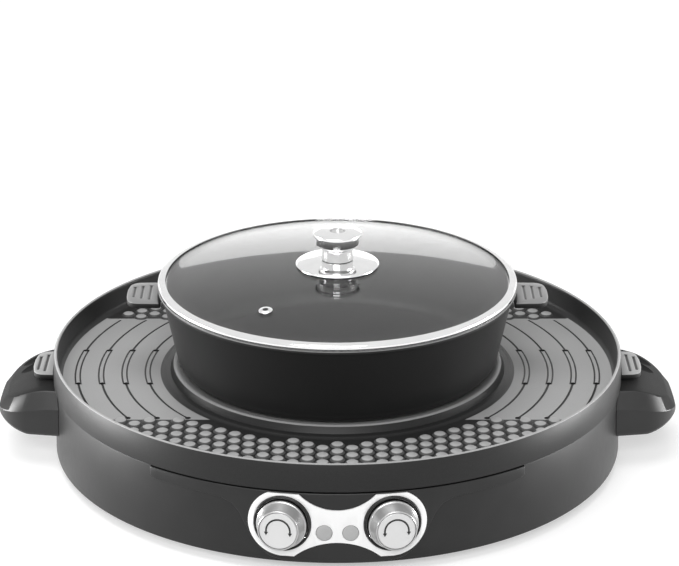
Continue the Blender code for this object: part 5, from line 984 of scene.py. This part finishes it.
def glass_lid():
    """Domed glass, steel band, eyelet, flange, knob and cap, smoothly turned."""
    steps = 14
    radii = [GLASS_BORE + (DOME_EDGE - GLASS_BORE) * step / steps for step in range(steps + 1)]
    top = [(radius, dome(radius)) for radius in radii] + [(139.8, GLASS_TOP)]
    under = [(radius, height - GLASS_THICK) for radius, height in reversed(top)]
    glass = turned("domed_glass", top + under, LID_FACETS, ring=True)
    wear(soften(glass), LID_GLASS, "lid", "glass", "lid_glass")
    band = turned("steel_band", (
        (135.7, 143.7), (138.5, 143.75), (140.6, 143.5), (141.4, 142.6), (141.7, 141.2), (141.6, 139.6),
        (141.2, 138.9), (135.3, 138.9), (135.3, 134.9), (134.5, 134.9), (134.5, 139.6), (140.9, 139.7),
        (140.9, 142.4), (140.1, 142.9), (135.7, 142.9)), LID_FACETS, ring=True)
    wear(soften(band, 40), POLISHED_STEEL, "lid", "steel", "lid_band")
    vent_x, vent_y = VENT_PLACE
    distance = math.hypot(vent_x, vent_y)
    eyelet = turned("steam_eyelet", (
        (2.2, 1.35), (3.2, 1.4), (4.4, 1.15), (5.1, 0.75), (5.3, 0.4), (3.1, 0.3), (3.1, -2.9),
        (2.2, -2.9)), SMALL_FACETS, ring=True)
    tilt = (Matrix.Translation((vent_x * MM, vent_y * MM, dome(distance) * MM))
            @ Matrix.Rotation(math.atan2(vent_y, vent_x), 4, "Z")
            @ Matrix.Rotation(math.asin(distance / DOME_SPHERE), 4, "Y"))
    wear(soften(at(eyelet, tilt), 45), POLISHED_STEEL, "lid", "steel", "vent_eyelet")
    edge = dome(FLANGE_RADIUS) + 0.3
    flange = turned("lid_flange", (
        (LID_KNOB_BORE, LID_KNOB_FOOT), (14.0, LID_KNOB_FOOT - 0.1), (19.2, LID_KNOB_FOOT - 0.5),
        (30.5, edge + 1.9), (32.0, edge + 1.35), (32.7, edge + 0.8), (FLANGE_RADIUS, edge + 0.3),
        (32.6, edge), (16.4, dome(16.4) + 0.3), (LID_KNOB_BORE, dome(LID_KNOB_BORE) + 0.3)),
        LID_KNOB_FACETS, ring=True)
    wear(soften(flange, 40), POLISHED_STEEL, "lid", "steel", "knob_flange")
    knob = turned("lid_knob_body", (
        (LID_KNOB_BORE, 159.3), (12.4, 159.3), (12.8, 159.6), (12.8, 167.2), (13.2, 168.4), (15.4, 170.3),
        (16.6, 171.4), (16.9, 172.4), (16.9, 179.1), (16.6, 179.5), (LID_KNOB_BORE, 179.5)),
        LID_KNOB_FACETS)
    wear(soften(knob, 35), POLISHED_STEEL, "lid", "steel", "lid_knob")
    cap = turned("lid_knob_top", (
        (17.2, 178.6), (18.7, 178.6), (19.15, 178.9), (19.2, 179.8), (18.9, 181.0), (17.9, 181.6),
        (14.0, 182.1), (6.0, 182.38), (6.0, 179.8), (17.2, 179.8)), LID_KNOB_FACETS)
    wear(soften(cap, 35), POLISHED_STEEL, "lid", "steel", "lid_knob_cap")


def smooth_node(name, node, body, material, slot, angle=35):
    """A smoothly shaded copy of a CAD node."""
    piece = node_copy(name, node)
    soften(piece, angle)
    return wear(piece, material, body, slot, node)


def edged_node(name, node, body, material, slot, width):
    """A block of the part whose moulded edges catch the light."""
    piece = node_copy(name, node)
    rounded(piece, width, 2, 50)
    even_normals(piece, 25)
    return wear(piece, material, body, slot, node)


def connector_blocks():
    """The two sockets that the pan's terminals enter, on their plinths, and the box beside them."""
    for place in ("centre", "right"):
        edged_node(place + "_plinth_moulding", place + "_plinth", "base", BLACK_PLASTIC, "satin_black", 0.3)
        edged_node(place + "_block_moulding", place + "_socket_body", "base", BLOCK_CERAMIC, "ceramic", 0.3)
    edged_node("control_box_moulding", "control_box", "base", BLACK_PLASTIC, "satin_black", 0.25)


def dress_hidden_nodes():
    """Pieces whose shape is right keep their mesh, or a smoothly shaded copy, and get their finish."""
    for number in range(1, 5):
        smooth_node("rubber_foot_%d" % number, "foot_%d" % number, "base", FOOT_RUBBER, "rubber")
        smooth_node("boss_screw_%d" % number, "tray_screw_%d" % number, "base", DRAWN_STEEL, "steel")
    for ring in ("outer", "inner"):
        smooth_node(ring + "_ring", ring + "_element", "grill_pan", DRAWN_STEEL, "steel", 50)
        smooth_node(ring + "_earth", ring + "_earth_pin", "grill_pan", DRAWN_STEEL, "steel")
    for place in ("centre", "right"):
        for use in ("line", "earth", "neutral"):
            smooth_node("%s_%s_contact" % (place, use), "%s_%s_sleeve" % (place, use), "base", DRAWN_STEEL,
                        "steel")
    for side, _ in SIDES:
        smooth_node("shaft_" + side, "control_shaft_" + side, side + "_knob", DRAWN_STEEL, "steel")
        smooth_node("thermostat_body_" + side, "thermostat_" + side, "base", THERMOSTAT_WHITE, "ceramic")
        smooth_node("glow_lamp_" + side, "lamp_" + side, "base", LAMP_GLASS, "glass")
    smooth_node("knob_screw", "lid_screw", "lid", DRAWN_STEEL, "steel")
    smooth_node("rubber_washer", "lid_washer", "lid", FOOT_RUBBER, "rubber")
    kept = {"bottom_cover": BLACK_PLASTIC, "power_inlet": BLACK_PLASTIC, "centre_sensor_tab": DRAWN_STEEL,
            "right_sensor_tab": DRAWN_STEEL, "centre_sensor_spring": DRAWN_STEEL,
            "right_sensor_spring": DRAWN_STEEL}
    for node, material in kept.items():
        nodes[node].data.materials.clear()
        nodes[node].data.materials.append(material)


def show_white(tree, seen, plain):
    """One strength for what the camera sees, also in mirrors and through glass, and a plain one otherwise."""
    rays = tree.nodes.new("ShaderNodeLightPath")
    direct = Value(tree, rays.outputs["Is Camera Ray"])
    for ray in ("Is Glossy Ray", "Is Transmission Ray"):
        direct = direct.sum("MAXIMUM", Value(tree, rays.outputs[ray]))
    return direct * (seen - plain) + plain


def studio():
    """Pale floor that keeps the shadow and turns white far away, softboxes on all sides, a white surround."""
    floor = settle(primitive("floor", bpy.ops.mesh.primitive_plane_add, size=FLOOR_SIZE,
                             location=(0, 0, -0.1 * MM)))
    paint = Finish("floor paint", grey(FLOOR_GREY), 0.9, Specular_IOR_Level=0.0, Emission_Strength=1.0)
    across, along, _ = paint.axes()
    far = between((across * across + along * along).sum("SQRT"), *FLOOR_WHITENS)
    glow = show_white(paint.tree, far * FLOOR_GLOW_RISE + FLOOR_GLOW, 0.0)
    paint.feed("Emission Color", paint.mix(glow, grey(0), grey(1)))
    floor.data.materials.append(paint.material)

    world = bpy.data.worlds.new("World")
    bpy.context.scene.world = world
    world.use_nodes = True
    tree = world.node_tree
    back = tree.nodes["Background"]
    back.inputs["Color"].default_value = (1, 1, 1, 1)
    tree.links.new(show_white(tree, 1.0, WORLD_LIGHT).socket, back.inputs["Strength"])

    for name, place, aim, size, power in SOFTBOXES:
        lamp = bpy.data.lights.new(name, "AREA")
        lamp.shape = "RECTANGLE"
        lamp.size, lamp.size_y = size
        lamp.energy = power
        light = bpy.data.objects.new(name, lamp)
        bpy.context.scene.collection.objects.link(light)
        light.location = place
        light.rotation_euler = (Vector(aim) - Vector(place)).to_track_quat("-Z", "Y").to_euler()
    bpy.context.scene.view_settings.view_transform = "Standard"


point_camera()
housing_shell()
front_apron()
silver_plate()
for side, sign in SIDES:
    knob_set(side, sign)
    lamp_lens(side, sign)
    grip(side, sign)
    grooved_ear("pan_ear_" + side, sign, *PAN_EAR, PAN_FLUTES, "grill_pan", PAN_COATING)
    grooved_ear("pot_ear_" + side, sign, *POT_EAR, POT_FLUTES, "pot", POT_COATING)
pressed_tray()
connector_blocks()
pan_casting()
food_bumps()
deep_pot()
glass_lid()
dress_hidden_nodes()
studio()
